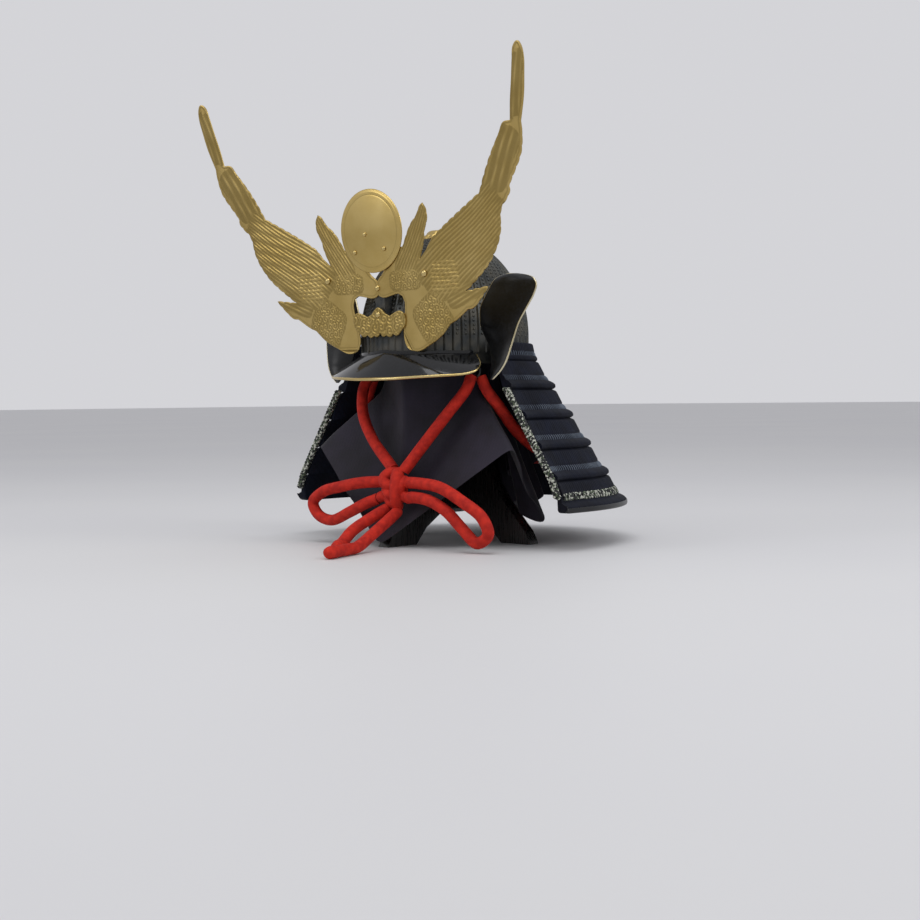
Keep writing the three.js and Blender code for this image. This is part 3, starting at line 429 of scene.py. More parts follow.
# Chin cord: the stretches' chosen points
cord = {
    "diameter": 15.0, "sides": 22, "step": 1.6 / fine, "knotStep": 1.4 / fine,
    "endSwell": 0.08, "endSwellAt": 14.0, "endSwellReach": 9.0,
    "waviness": 0.006, "furrow": 0.07, "crinkle": 0.012,
}
cordRoutes = {
    "strand_left": [
        [92.3, -82.3, 219.4], [91, -90, 204], [72, -106, 172], [49, -119, 139], [21.6, -134.6, 98.6],
    ],
    "strand_right": [
        [-91.8, -82.7, 218.9], [-93, -90, 202], [-78, -106, 171], [-48, -119, 138], [2, -133.3, 99.9],
    ],
    "back": [
        [96, -67.1, 218.1], [104, -66, 202], [118, -58, 180], [134, -42, 148], [148, -10, 122],
        [152, 30, 112], [138, 80, 108], [100, 126, 106], [52, 152, 104], [0, 160, 104],
        [-52, 152, 104], [-100, 126, 106],
        [-138, 80, 108], [-152, 30, 112], [-148, -10, 122], [-134, -42, 148], [-118, -58, 180],
        [-104, -66, 202], [-96, -67.1, 218.1],
    ],
    "bow_right": [
        [-6.9, -139.1, 84.3], [-43, -147, 82], [-78, -150, 76], [-112, -150, 68], [-131, -150, 53],
        [-122, -150, 38], [-96, -151, 31], [-62, -151, 43], [-34, -149, 55], [-16.4, -143.6, 61.9],
    ],
    "bow_left": [
        [28.5, -138.8, 84], [60, -147, 84], [96, -150, 80], [132, -150, 64], [163, -148, 44],
        [170, -146, 24], [152, -146, 13], [130, -148, 30], [108, -151, 50], [80, -152, 63],
        [50, -149, 66], [38.5, -144.3, 64.6],
    ],
    "tail_front": [
        [19.8, -141, 49.7], [21, -168, 35], [24, -200, 20], [32, -232, 9], [38, -256, 8], [45, -284, 8],
        [50, -304, 8],
    ],
    "tail_rear": [
        [3.1, -141.6, 51.9], [-4, -170, 39], [-12, -196, 24], [-11, -216, 10], [-1, -234, 8], [14, -250, 8],
    ],
}
# Where each stretch ends, and whether that end is free
cordEnds = {
    "strand_left": "knot", "strand_right": "knot", "back": "object",
    "bow_right": "knot", "bow_left": "knot", "tail_front": "bare", "tail_rear": "bare",
}
# Short turns of the cord that make up the knot: their points and radius
knotTurns = [
    ([[14, -134, 99], [19, -145, 92], [21, -150, 76], [20, -148, 60], [15, -138, 50]], 8.2),
    ([[14, -133, 96], [2, -141, 95], [-3, -146, 88], [3, -148, 81], [14, -143, 78]], 7.6),
    ([[26, -133, 88], [27, -143, 84], [25, -146, 76], [22, -141, 66]], 7.2),
    ([[-4, -134, 78], [1, -145, 74], [10, -148, 68], [16, -142, 64]], 7.0),
    ([[-2, -134, 66], [4, -144, 62], [12, -145, 57], [18, -136, 56]], 7.0),
    ([[11, -131, 94], [11, -130, 74], [12, -131, 56]], 9.5),
    ([[-18, -143.6, 61.5], [-6, -143, 66], [6, -142, 68]], 7.4),
    ([[40, -144.3, 64], [28, -143, 67], [16, -142, 68]], 7.4),
]


def crepeRipple(seed):
    # Soft lengthwise furrows and a fine crinkle in the cord's skin
    draw = np.random.default_rng(seed)
    shift = draw.uniform(0, 2 * math.pi, 8)
    lengths = draw.uniform(9, 26, 8)

    def ripple(run, turn):
        wave = np.zeros(np.broadcast_shapes(run.shape, turn.shape))
        for k in range(4):
            wave = wave + cord["waviness"] * np.sin(run / lengths[k] + (k + 1) * turn + shift[k])
        furrow = np.exp(-((np.cos((turn - shift[4] - 0.5 * np.sin(run / 31 + shift[5])) / 2)) / 0.16) ** 2)
        crinkle = np.sin(run * 1.9 + 3 * np.sin(turn * 2 + shift[6]))
        return 1 + wave - cord["furrow"] * furrow + cord["crinkle"] * crinkle
    return ripple


def addCords():
    knotParts = []
    for k, (turnPoints, radius) in enumerate(knotTurns):
        path = throughPoints(turnPoints, cord["knotStep"])
        knotParts.append(tube(path, roundedEnds(path, radius), cord["sides"], crepeRipple(50 + k)))
    knot = addPiece("bow_knot", *joined(knotParts), "cord", "cord", ["cord_knot"])
    for k, (name, route) in enumerate(cordRoutes.items()):
        path = throughPoints(route, cord["step"])
        isTail = cordEnds[name] == "bare"
        size = roundedEnds(path, cord["diameter"] / 2, atStart=isTail, atEnd=isTail)
        if isTail:     # the padded end swells a little before it closes
            fromEnd = np.arange(len(path))[::-1] * cord["step"]
            near = np.exp(-((fromEnd - cord["endSwellAt"]) / cord["endSwellReach"]) ** 2)
            size *= 1 + cord["endSwell"] * near
        piece = addPiece("chin_" + name, *tube(path, size, cord["sides"], crepeRipple(10 + k)),
                         "cord", "cord", ["cord_" + name])
        centres = toWorld(evenSteps(path, pathLength(path) / 30))
    print("cords laid:", len(cordRoutes))


addCords()


# Bowl: plates with a raised rib at each joint, and a row of rivets up the middle of each plate
def bowlProfile(count):
    # Share of the radius and height up the bowl's middle line, by even steps of length
    holeElevation = math.acos(bowl["holeRadius"] / bowl["halfWidth"])
    elevation = np.linspace(0, holeElevation, 400)
    spreadShare = np.concatenate([[1.0], np.cos(elevation)])
    heights = np.concatenate([[0.0], bowl["upright"] + bowl["domeHeight"] * np.sin(elevation)])
    line = np.stack([spreadShare * bowl["halfWidth"], np.zeros(401), heights], -1)
    even = evenSteps(line, pathLength(line) / count)
    return even[:, 0] / bowl["halfWidth"], even[:, 2] + bowl["baseZ"], pathLength(line)


def bowlRing(angle, share, z, level):
    slope = np.clip((z - bowl["baseZ"] - bowl["upright"]) / bowl["domeHeight"], 0, 1)
    outward = np.sqrt(np.maximum(0.0, 1 - slope ** 2))
    return np.stack([
        np.cos(angle) * (bowl["halfWidth"] * share + level * outward),
        bowl["axisY"] + np.sin(angle) * (bowl["halfLength"] * share + level * outward),
        z + level * slope,
    ], -1)


def addBowl():
    columns = bowl["plates"] * (bowl["plateSteps"] if fine == 1 else bowl["quickSteps"])
    share, z, length = bowlProfile(int(bowl["rows"] * fine))
    angle = np.arange(columns) / columns * 2 * math.pi
    phase = (np.arange(columns) / columns * bowl["plates"] + 0.5) % 1 - 0.5
    fromRib = np.abs(phase) / (bowl["ribShare"] / 2 + bowl["ribFoot"])
    rib = np.clip(1 - fromRib, 0, 1) ** 0.6 * bowl["ribHeight"]
    fade = np.sqrt(share)[:, None]
    outer = bowlRing(angle[None], share[:, None], z[:, None], rib[None] * fade)
    inner = bowlRing(angle[None], share[:, None], z[:, None], np.full((len(z), columns), -bowl["wall"]))
    addPiece("riveted_bowl", *slab(outer, inner, wrap=True), "iron", "iron", ["bowl"], sharpAngle=40)
    addRivets(share, z, length)


def addRivets(share, z, length):
    # One row of low round heads up the middle of each plate, smaller where the plates narrow
    run = np.linspace(0, length, len(z))
    rows = np.arange(bowl["plainFoot"], length - bowl["plainTop"], bowl["rivetPitch"])
    rowShare, rowZ = np.interp(rows, run, share), np.interp(rows, run, z)
    turns = (np.arange(bowl["plates"]) + 0.5) / bowl["plates"] * 2 * math.pi
    heads = []
    sides = bowl["rivetSides"]
    rim = np.arange(sides) / sides * 2 * math.pi
    for turn in turns:
        for ringShare, ringZ in zip(rowShare, rowZ):
            plateWidth = ringShare * 2 * math.pi * bowl["halfWidth"] / bowl["plates"]
            radius = min(bowl["rivetRadius"], bowl["rivetCrowding"] * plateWidth)
            middle = bowlRing(turn, ringShare, ringZ, 0.0)
            top = bowlRing(turn, ringShare, ringZ, 1.0)
            axis = unit(top - middle)
            across = unit(np.cross(axis, [0.0, 0.0, 1.0]))
            along = np.cross(axis, across)
            circle = np.cos(rim)[:, None] * across + np.sin(rim)[:, None] * along
            heads.append(lofted(np.stack([middle + circle * radius * size + axis * radius * lift
                                          for size, lift in bowl["rivetRings"]])))
    addPiece("bowl_rivets", *joined(heads), "iron", "iron")
    print("bowl plates:", bowl["plates"], "rivets:", len(heads))


addBowl()

# The collar's section goes round its shares of the width and of the height
crown = {
    "holeRadius": 17.0, "width": 13.0, "petals": 16, "petalSteps": 12, "petalDepth": 0.12, "petalLift": 0.5,
    "section": [
        (0.0, 0.42), (1.0, 0.0), (1.0, 0.2), (0.8, 0.5), (0.6, 0.42), (0.4, 0.8), (0.16, 1.0), (0.0, 0.86),
    ],
}


def addCrownRing():
    # Opened chrysanthemum-like collar in thin sheet: rows of rounded petals round the hole
    low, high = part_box("crown_ring")
    foot, top = low.z / millimetre, high.z / millimetre
    columns = crown["petals"] * crown["petalSteps"]
    turn = np.arange(columns) / columns * 2 * math.pi
    petal = np.abs(np.sin(turn * crown["petals"] / 2))
    stretch = bowl["halfLength"] / bowl["halfWidth"]
    rings = []
    for across, rise in crown["section"]:
        scallop = 1 - crown["petalDepth"] + crown["petalDepth"] * petal
        radius = crown["holeRadius"] + crown["width"] * across * scallop
        z = foot + (top - foot) * rise + crown["petalLift"] * petal * across
        rings.append(np.stack([np.cos(turn) * radius, bowl["axisY"] + np.sin(turn) * radius * stretch,
                               np.broadcast_to(z, turn.shape)], -1))
    faces = gridFaces(len(rings), columns, wrapRows=True, wrapColumns=True)
    addPiece("crown_collar", np.vstack(rings), faces, "gilt", "gilt", ["crown_ring"], sharpAngle=35)


addCrownRing()

# Neck guard: the lames' sizes, then the rows of one lame from its top to its roll
neck = {
    "lames": 6, "topZ": 264.0, "topSide": 111.0, "topRear": 124.0, "firstDrop": 24.0, "pitch": 38.4,
    "firstFlare": 12.5, "sideFlare": 23.8, "rearFlare": 23.4, "ahead": 51.0, "wall": 4.0, "rollWall": 7.0,
    "flareTop": 11.0, "flareHem": -2.0, "turnRise": 25.0, "gap": 0.3, "cornerRadius": 9.0, "topCorner": 7.0,
    "lace": 4.8, "laceDepth": 1.0, "rollTwist": 4.2, "rollDepth": 0.7,
    "stitchPitch": 5.0, "stitchLean": 1.4, "stitchHeight": 6.4, "stitchRadius": 0.5, "stitchAt": 0.585,
    "crossPitch": 9.3, "crossLean": 6.696, "crossHeight": 8.5, "crossRadius": 1.15, "crossAt": 0.48,
    "crossPair": 1.1, "stripHeight": 6.5, "stripOut": 0.9, "tuck": 2.0, "rollLean": 7.0,
    "rows": 26, "laceSteps": 4.5, "threadSides": 5, "threadStep": 4.0, "edgeStep": 3.0,
}
# Shares of a lame's height, with its step outward there and how much lacing and twisted roll show
lameRows = {
    "drop": [0.0, 0.035, 0.08, 0.2, 0.34, 0.47, 0.51, 0.55, 0.62, 0.66, 0.70, 0.76, 0.83, 0.9, 0.96, 1.0],
    "out": [-0.05, 0.05, 0.1, 0.2, 0.31, 0.42, 0.44, 0.52, 0.6, 0.64, 0.78, 0.94, 1.03, 1.04, 0.95, 0.8],
    "laceDrop": [0, 0.05, 0.42, 0.5, 1], "lace": [0.2, 1, 1, 0, 0],
    "rollDrop": [0, 0.66, 0.74, 0.94, 1], "roll": [0, 0, 1, 1, 0.2],
}
# The hem strip's section: shares of its height, and how far out each lies
stripSection = [(1.0, 0.9), (0.75, 1.5), (0.35, 1.6), (0.1, 1.2), (0.0, 0.2), (0.0, -4.0), (1.0, -4.5)]


def neckEdge(index):
    # Height, half width and half length of the guard at a lame's lower edge; 0 is the guard's top
    if index == 0:
        return neck["topZ"], neck["topSide"], neck["topRear"]
    steps = index - 1
    return (neck["topZ"] - neck["firstDrop"] - steps * neck["pitch"],
            bowl["halfWidth"] + neck["firstFlare"] + steps * neck["sideFlare"],
            bowl["halfLength"] + neck["firstFlare"] + steps * neck["rearFlare"])


hemZ = neckEdge(neck["lames"])[0]


def frontFlare(z):
    rise = np.clip((z - hemZ) / neck["turnRise"], 0, 1)
    return neck["flareHem"] + (neck["flareTop"] - neck["flareHem"]) * rise ** 1.5


def neckStations(side, rear, step):
    # Stops along a lame, hand to hand: side of the straight, share ahead, angle round the back, run
    straight = np.arange(0, neck["ahead"], step)
    angle = np.linspace(-math.pi / 2, math.pi / 2, 721)
    arc = np.stack([side * np.sin(angle), rear * np.cos(angle), 0 * angle], -1)
    run = runAlong(arc)
    even = np.interp(np.linspace(0, run[-1], round(run[-1] / step) + 1), run, angle)
    count = len(straight)
    ahead = np.concatenate([1 - straight / neck["ahead"], np.zeros(len(even)),
                            (1 - straight / neck["ahead"])[::-1]])
    angles = np.concatenate([np.full(count, -math.pi / 2), even, np.full(count, math.pi / 2)])
    total = run[-1] + 2 * neck["ahead"]
    along = np.concatenate([straight, neck["ahead"] + np.linspace(0, run[-1], len(even)),
                            total - straight[::-1]])
    return ahead, angles, along, total


def neckPoint(ahead, angle, side, rear, z):
    flare = frontFlare(z) * ahead ** 2
    x = np.sin(angle) * (side + flare)
    y = bowl["axisY"] + rear * np.cos(angle) - neck["ahead"] * ahead
    return np.stack(np.broadcast_arrays(x, y, z), -1)


def onLame(index, ahead, angle, drop, out, level=0.0):
    # A place on a lame's outer face, by shares of its height and of its step outward
    (topZ, topSide, topRear), (footZ, footSide, footRear) = neckEdge(index), neckEdge(index + 1)
    z = topZ - neck["gap"] + (footZ - topZ + neck["gap"]) * drop
    return neckPoint(ahead, angle, topSide + (footSide - topSide) * out + level,
                     topRear + (footRear - topRear) * out + level, z)


def roundedCorner(fromEdge, radius):
    # How far a rounded corner draws back from a straight edge
    past = np.maximum(0, radius - fromEdge)
    return radius - np.sqrt(radius ** 2 - past ** 2)


def addLame(index):
    (topZ, topSide, topRear), (footZ, footSide, footRear) = neckEdge(index), neckEdge(index + 1)
    ahead, angle, along, total = neckStations(footSide, footRear, neck["lace"] / (neck["laceSteps"] * fine))
    drop = np.unique(np.concatenate([np.linspace(0, 1, int(neck["rows"] * fine)), lameRows["drop"]]))
    out = smoothRow(lameRows["drop"], lameRows["out"], drop)
    lacing = smoothRow(lameRows["laceDrop"], lameRows["lace"], drop)
    roll = smoothRow(lameRows["rollDrop"], lameRows["roll"], drop)
    ridge = np.abs(np.sin(along * math.pi / neck["lace"])) ** 0.7 * neck["laceDepth"]
    slant = along[:, None] / neck["rollTwist"] + drop[None, :] * neck["rollLean"]
    twist = np.abs(np.sin(slant * math.pi)) * neck["rollDepth"]
    level = ridge[:, None] * lacing[None, :] + twist * roll[None, :]
    height = topZ - footZ - neck["gap"]
    z = topZ - neck["gap"] - height * drop[None, :] * np.ones((len(along), 1))
    fromEdge = np.minimum(along, total - along)[:, None]
    z = np.minimum(z, topZ - neck["gap"] - roundedCorner(fromEdge, neck["topCorner"]))
    if index == neck["lames"] - 1:
        z = np.maximum(z, footZ + roundedCorner(fromEdge, neck["cornerRadius"]))
    outer = neckPoint(ahead[:, None], angle[:, None], topSide + (footSide - topSide) * out[None, :] + level,
                      topRear + (footRear - topRear) * out[None, :] + level, z)
    inner = []
    for row in (-1, -1 - len(drop) // 2, 0):     # foot, middle and top of the inner face
        share = drop[row]
        inset = neck["wall"] + (neck["rollWall"] - neck["wall"]) * share
        tuck = neck["tuck"] if row == 0 and index else 0.0     # closes the slit to the lame above
        inner.append(neckPoint(ahead, angle, topSide + (footSide - topSide) * out[row] - inset,
                               topRear + (footRear - topRear) * out[row] - inset, z[:, row] + tuck))
    addPiece(f"laced_lame_{index + 1}", *lofted(np.concatenate([outer, np.stack(inner, 1)], 1)),
             "lacing", "lacing", [f"neck_lame_{index + 1}"], sharpAngle=60)


def slantedThread(index, total, ahead, angle, along, at, lean, height, middle, radius):
    # One stitch: leans along the lame as it goes down
    reach = height / (neck["pitch"] if index else neck["firstDrop"])
    steps = np.linspace(-0.5, 0.5, 5)
    place = np.clip(at + steps * lean, 1.0, total - 1.0)
    drop = middle + steps * reach
    out = smoothRow(lameRows["drop"], lameRows["out"], drop)
    bulge = radius * (0.35 + 0.75 * np.cos(steps * math.pi))
    points = onLame(index, np.interp(place, along, ahead), np.interp(place, along, angle), drop, out, bulge)
    size = radius * (0.75 + 0.35 * np.cos(steps * math.pi))
    return tube(points, size, neck["threadSides"], up=(0.3, 0.2, 1.0))


def addStitches():
    plain = []
    for index in range(neck["lames"] - 1):
        _, side, rear = neckEdge(index + 1)
        ahead, angle, along, total = neckStations(side, rear, neck["threadStep"])
        for at in np.arange(neck["stitchPitch"] / 2, total - neck["stitchPitch"] / 2, neck["stitchPitch"]):
            plain.append(slantedThread(index, total, ahead, angle, along, at, neck["stitchLean"],
                                       neck["stitchHeight"], neck["stitchAt"], neck["stitchRadius"]))
    addPiece("lame_stitches", *joined(plain), "stitch", "lacing")
    crossed = []
    index = neck["lames"] - 1
    _, side, rear = neckEdge(index + 1)
    ahead, angle, along, total = neckStations(side, rear, neck["threadStep"])
    for at in np.arange(neck["crossPitch"] * 0.6, total - neck["crossPitch"] * 0.5, neck["crossPitch"]):
        for lean in (-neck["crossLean"], neck["crossLean"]):
            for offset in (-neck["crossPair"], neck["crossPair"]):
                crossed.append(slantedThread(index, total, ahead, angle, along, at + offset, lean,
                                             neck["crossHeight"], neck["crossAt"], neck["crossRadius"]))
    addPiece("hem_cross_stitches", *joined(crossed), "speckled", "speckled")
    print("stitches:", len(plain) + len(crossed))


def addHemStrip():
    # Black lacquered edge of the lowest plate, over the foot of its roll
    index = neck["lames"] - 1
    footZ, side, rear = neckEdge(index + 1)
    ahead, angle, along, total = neckStations(side, rear, neck["edgeStep"] / fine)
    lift = roundedCorner(np.minimum(along, total - along), neck["cornerRadius"])
    side, rear = side + neck["stripOut"], rear + neck["stripOut"]
    section = np.stack([neckPoint(ahead, angle, side + level, rear + level,
                                  footZ + np.maximum(neck["stripHeight"] * rise, lift + rise))
                        for rise, level in stripSection], 1)
    addPiece("hem_strip", *lofted(section), "satinLacquer", "lacquer")


for lameIndex in range(neck["lames"]):
    addLame(lameIndex)
addStitches()
addHemStrip()
print("lames laced:", neck["lames"])

braid = {
    "diameter": 9.0, "strands": 3, "strandRadius": 2.1, "strandSides": 8, "sway": 3.2, "depth": 1.8,
    "turn": 14.0, "rows": 7, "step": 0.8 / fine, "inset": 0.3,
}


def addEarBraids():
    frontY = bowl["axisY"] - neck["ahead"] - neck["gap"] - braid["diameter"] / 2
    topZ = neckEdge(2)[0] + 2
    bottomZ = hemZ + neck["cornerRadius"] + braid["diameter"]
    heights = np.linspace(topZ, bottomZ, braid["rows"])
    edges = [neckEdge(k) for k in range(neck["lames"] + 1)]
    side = np.interp(-heights, [-edge[0] for edge in edges], [edge[1] for edge in edges])
    for hand, name in ((1, "left"), (-1, "right")):
        x = hand * (side + frontFlare(heights) - braid["diameter"] * braid["inset"])
        middle = throughPoints(np.stack([x, np.full(braid["rows"], frontY), heights], -1), braid["step"])
        run = np.arange(len(middle)) * braid["step"]
        parts = []
        for k in range(braid["strands"]):
            turn = run / braid["turn"] * 2 * math.pi + k * 2 * math.pi / braid["strands"]
            sway, depth = braid["sway"] * np.sin(turn), braid["depth"] * np.sin(2 * turn)
            path = middle + np.stack([sway, depth, 0 * turn], -1)
            parts.append(tube(path, roundedEnds(path, braid["strandRadius"]), braid["strandSides"],
                              up=(0.0, -1.0, 0.0)))
        addPiece(f"ear_braid_{name}", *joined(parts), "speckled", "speckled", [f"edge_braid_{name}"])


addEarBraids()

visor = {
    "wall": 2.2, "lap": 2.0, "flange": 5.0, "flangeShare": 0.12, "dropFront": 34.0, "dropSide": 28.0,
    "reachFront": 22.0, "reachSide": 55.0, "halfAngle": 62.0, "cornerAngle": 44.0, "ridge": 2.5,
    "ridgeAngle": 16.0, "seat": 1.5, "rim": 4.4, "rimEnds": 0.55, "bulge": 0.25, "cornerShare": 0.12,
    "stepsRound": 160, "stepsOut": 36,
}


def visorFace(u, v):
    turn = (2 * u - 1) * visor["halfAngle"]
    side = np.abs(turn) / visor["halfAngle"]
    cornerReach = visor["halfAngle"] - visor["cornerAngle"]
    past = np.clip((np.abs(turn) - visor["cornerAngle"]) / cornerReach, 0, 1)
    rounding = np.maximum(visor["cornerShare"], np.sqrt(np.maximum(0, 1 - past ** 3)))
    reach = (visor["reachFront"] + (visor["reachSide"] - visor["reachFront"]) * side ** 2) * rounding
    drop = (visor["dropFront"] + (visor["dropSide"] - visor["dropFront"]) * side) * rounding
    upright = np.minimum(1, v / visor["flangeShare"])
    along = np.maximum(0, (v - visor["flangeShare"]) / (1 - visor["flangeShare"]))
    crease = np.maximum(0, 1 - np.sqrt(turn ** 2 + 1.2) / visor["ridgeAngle"])
    ridge = visor["ridge"] * crease ** 1.4 * (1 - along * 0.5)
    out = reach * (along + visor["bulge"] * along * (1 - along))
    fall = visor["flange"] * upright + (drop + visor["lap"] - visor["flange"]) * along
    ahead = np.cos(np.radians(turn))
    outAhead = out * np.where(side < 1, ahead ** 1.6, 0)
    return np.stack([
        np.sin(np.radians(turn)) * (bowl["halfWidth"] + visor["seat"] + out),
        bowl["axisY"] - ahead * (bowl["halfLength"] + visor["seat"]) - outAhead,
        bowl["baseZ"] + visor["lap"] - fall + ridge,
    ], -1)


def gridNormals(grid):
    return unit(np.cross(np.gradient(grid, axis=0), np.gradient(grid, axis=1)))


def edgeRim(edge, inside, normals, wall, diameter, name, finish, node, thinEnds=1.0):
    # Round bead laid along an open edge
    outward = unit(edge - inside)
    path = evenSteps(edge + normals * wall / 2 + outward * diameter * 0.3, 2.0 / fine)
    middle = np.sin(np.linspace(0, math.pi, len(path)))
    size = roundedEnds(path, diameter / 2) * (thinEnds + (1 - thinEnds) * middle)
    addPiece(name, *tube(path, size, 12), finish, "gilt", [node])


def unitGrid(rows, columns):
    shares = [np.linspace(0, 1, int(count * fine)) for count in (rows, columns)]
    return np.meshgrid(*shares, indexing="ij")


def addVisor():
    u, v = unitGrid(visor["stepsRound"], visor["stepsOut"])
    inner = visorFace(u, v)
    normals = -gridNormals(inner)
    if normals[0, 0] @ (inner[0, 0] - np.array([0, bowl["axisY"], bowl["baseZ"]])) < 0:
        normals = -normals
    addPiece("lacquered_visor", *slab(inner + normals * visor["wall"], inner), "lacquer", "lacquer",
             ["visor"])
    edgeRim(inner[:, -1], inner[:, -2], normals[:, -1], visor["wall"], visor["rim"],
            "visor_edge", "giltRim", "visor_rim", visor["rimEnds"])


addVisor()

sidePlate = {
    "wall": 2.5, "height": 131.0, "tipDrop": 36.0, "span": 79.0, "inset": 7.0, "bow": 4.0, "bowWidth": 0.4,
    "rim": 2.4, "rimFrom": 0.5, "stepsUp": 90, "stepsAcross": 30,
}
# Shares of the plate's height, then shares of its span and lengths ahead at its inner and outer edges
sidePlateRows = {
    "share": [0.0, 0.09, 0.18, 0.35, 0.53, 0.68, 0.81, 0.89, 0.945, 0.98, 1.0],
    "inner": [0.31, 0.25, 0.2, 0.11, 0.01, -0.02, 0.06, 0.13, 0.19, 0.28, 0.41],
    "outer": [0.33, 0.49, 0.58, 0.66, 0.73, 0.86, 0.97, 1.0, 0.95, 0.8, 0.6],
    "innerY": [-16.5, -9, -2, 0, -5, -3, 0, 2, 3, 4, 5],
    "outerY": [-17, -15, -13, -9, -4, 0, 4, 6, 7, 8, 8],
}


def sidePlateFace(u, v, hand):
    row = {key: smoothRow(sidePlateRows["share"], sidePlateRows[key], u)
           for key in ("inner", "outer", "innerY", "outerY")}
    across = row["inner"] + (row["outer"] - row["inner"]) * v
    widthShare = np.minimum(1, (row["outer"] - row["inner"]) / sidePlate["bowWidth"])
    bow = 4 * v * (1 - v) * sidePlate["bow"] * widthShare
    backY = bowl["axisY"] - neck["ahead"] - neck["gap"]
    return np.stack([
        hand * (bowl["halfWidth"] + neck["firstFlare"] - sidePlate["inset"] + sidePlate["span"] * across),
        backY + row["innerY"] + (row["outerY"] - row["innerY"]) * v - bow,
        bowl["baseZ"] - sidePlate["tipDrop"] + sidePlate["height"] * u,
    ], -1)


def addSidePlate(hand, name):
    u, v = unitGrid(sidePlate["stepsUp"], sidePlate["stepsAcross"])
    back = sidePlateFace(u, v, hand)
    normals = gridNormals(back)
    normals = np.where((normals[..., 1:2] > 0), -normals, normals)     # the front looks ahead
    addPiece(f"turned_plate_{name}", *slab(back + normals * sidePlate["wall"], back),
             "satinLacquer", "lacquer", [f"side_plate_{name}"])
    first = int(len(back) * sidePlate["rimFrom"])
    edge = np.vstack([back[first:, 0], back[-1, 1:-1], back[::-1, -1]])
    ends = np.vstack([normals[first:, 0], normals[-1, 1:-1], normals[::-1, -1]])
    inside = np.vstack([back[first:, 3], back[-4, 1:-1], back[::-1, -4]])
    edgeRim(edge, inside, ends, sidePlate["wall"], sidePlate["rim"], f"turned_rim_{name}",
            "paleRim", f"side_rim_{name}")


addSidePlate(1, "left")
addSidePlate(-1, "right")
print("visor and side plates lacquered")

crest = {
    "baseZ": 251.0, "baseY": -148.0, "height": 343.0, "halfSpan": 281.0, "lean": 0.11, "sweep": 29.0,
    "wall": 1.6, "scrollWall": 2.0, "swell": 1.2, "scrollSwell": 0.6, "swellReach": 9.0,
    "grid": 1.05 / fine, "outlineStep": 1.2 / fine, "valleyAngle": 16.0, "barbAngle": 95.0,
    "bead": 0.5, "beadAt": 1.1, "beadWidth": 0.8,
    # painted shade: a dark band at the foot of the edge bead, and a darker ground between the chased lines
    "beadFootShadeAt": 2.8, "beadFootShadeWidth": 0.9, "groundShadeDepth": 0.6, "curlSpacing": 2.6,
}
# Tooled zones of a wing: middle, half sizes, turn in degrees, spacing of the lines and their height
wingZones = [
    {"kind": "strokes", "at": (152, 378), "reach": (88, 42), "turn": 33, "pitch": 4.6, "depth": 1.0},
    {"kind": "strokes", "at": (72, 388), "reach": (58, 19), "turn": 59, "pitch": 4.0, "depth": 0.8},
    {"kind": "strokes", "at": (118, 341), "reach": (26, 22), "turn": -3, "pitch": 4.8, "depth": 1.1},
    {"kind": "strokes", "at": (150, 318), "reach": (34, 12), "turn": 18, "pitch": 5.2, "depth": 0.5},
    {"kind": "strokes", "at": (226, 470), "reach": (44, 24), "turn": 59, "pitch": 11.0, "depth": 0.45},
    {"kind": "strokes", "at": (264, 548), "reach": (42, 12), "turn": 76, "pitch": 9.0, "depth": 0.35},
    {"kind": "curls", "at": (92, 291), "reach": (30, 30), "turn": 30, "pitch": 3.6, "depth": 0.8},
    {"kind": "curls", "at": (50, 340), "reach": (28, 14), "turn": 0, "pitch": 3.4, "depth": 0.75},
]
scrollZones = [{"kind": "curls", "at": (0, 288), "reach": (60, 40), "turn": 0, "pitch": 4.4, "depth": 0.8}]


def crestFaceY(x, z):
    rise = z - crest["baseZ"]
    return (crest["baseY"] - crest["lean"] * rise
            - crest["sweep"] * (rise / crest["height"]) * (np.abs(x) / crest["halfSpan"]))


def curlField(x, z, pitch, seed):
    # Spiral tendrils that meet: each place follows the nearest of a jittered set of curl middles
    draw = np.random.default_rng(seed)
    cell = pitch * crest["curlSpacing"]
    columns, rows = np.floor(x / cell), np.floor(z / cell)
    jitter = draw.uniform(0.2, 0.8, (256, 2))
    hand = np.where(draw.uniform(0, 1, 256) < 0.5, -1, 1)
    best, lines = np.full(x.shape, 1e9), np.zeros(x.shape)
    for i in (-1, 0, 1):
        for j in (-1, 0, 1):
            key = ((columns + i) * 37 + (rows + j) * 101).astype(int) % 256
            dx = x - (columns + i + jitter[key, 0]) * cell
            dz = z - (rows + j + jitter[key, 1]) * cell
            away = np.hypot(dx, dz)
            spiral = np.cos(2 * math.pi * away / pitch + hand[key] * np.arctan2(dz, dx))
            nearer = away < best
            best, lines = np.where(nearer, away, best), np.where(nearer, spiral, lines)
    return lines


# Chased feather strokes: how far they sag and fan out, their side barbs and their worn stretches
stroke = {
    "sag": 1.6, "sagLength": 23.0, "fan": 0.0016, "barbs": 0.12, "barbSlant": 0.8, "barbPitch": 2.6,
    "worn": 0.35, "wornLength": 7.3, "wornShift": 2.1,
}


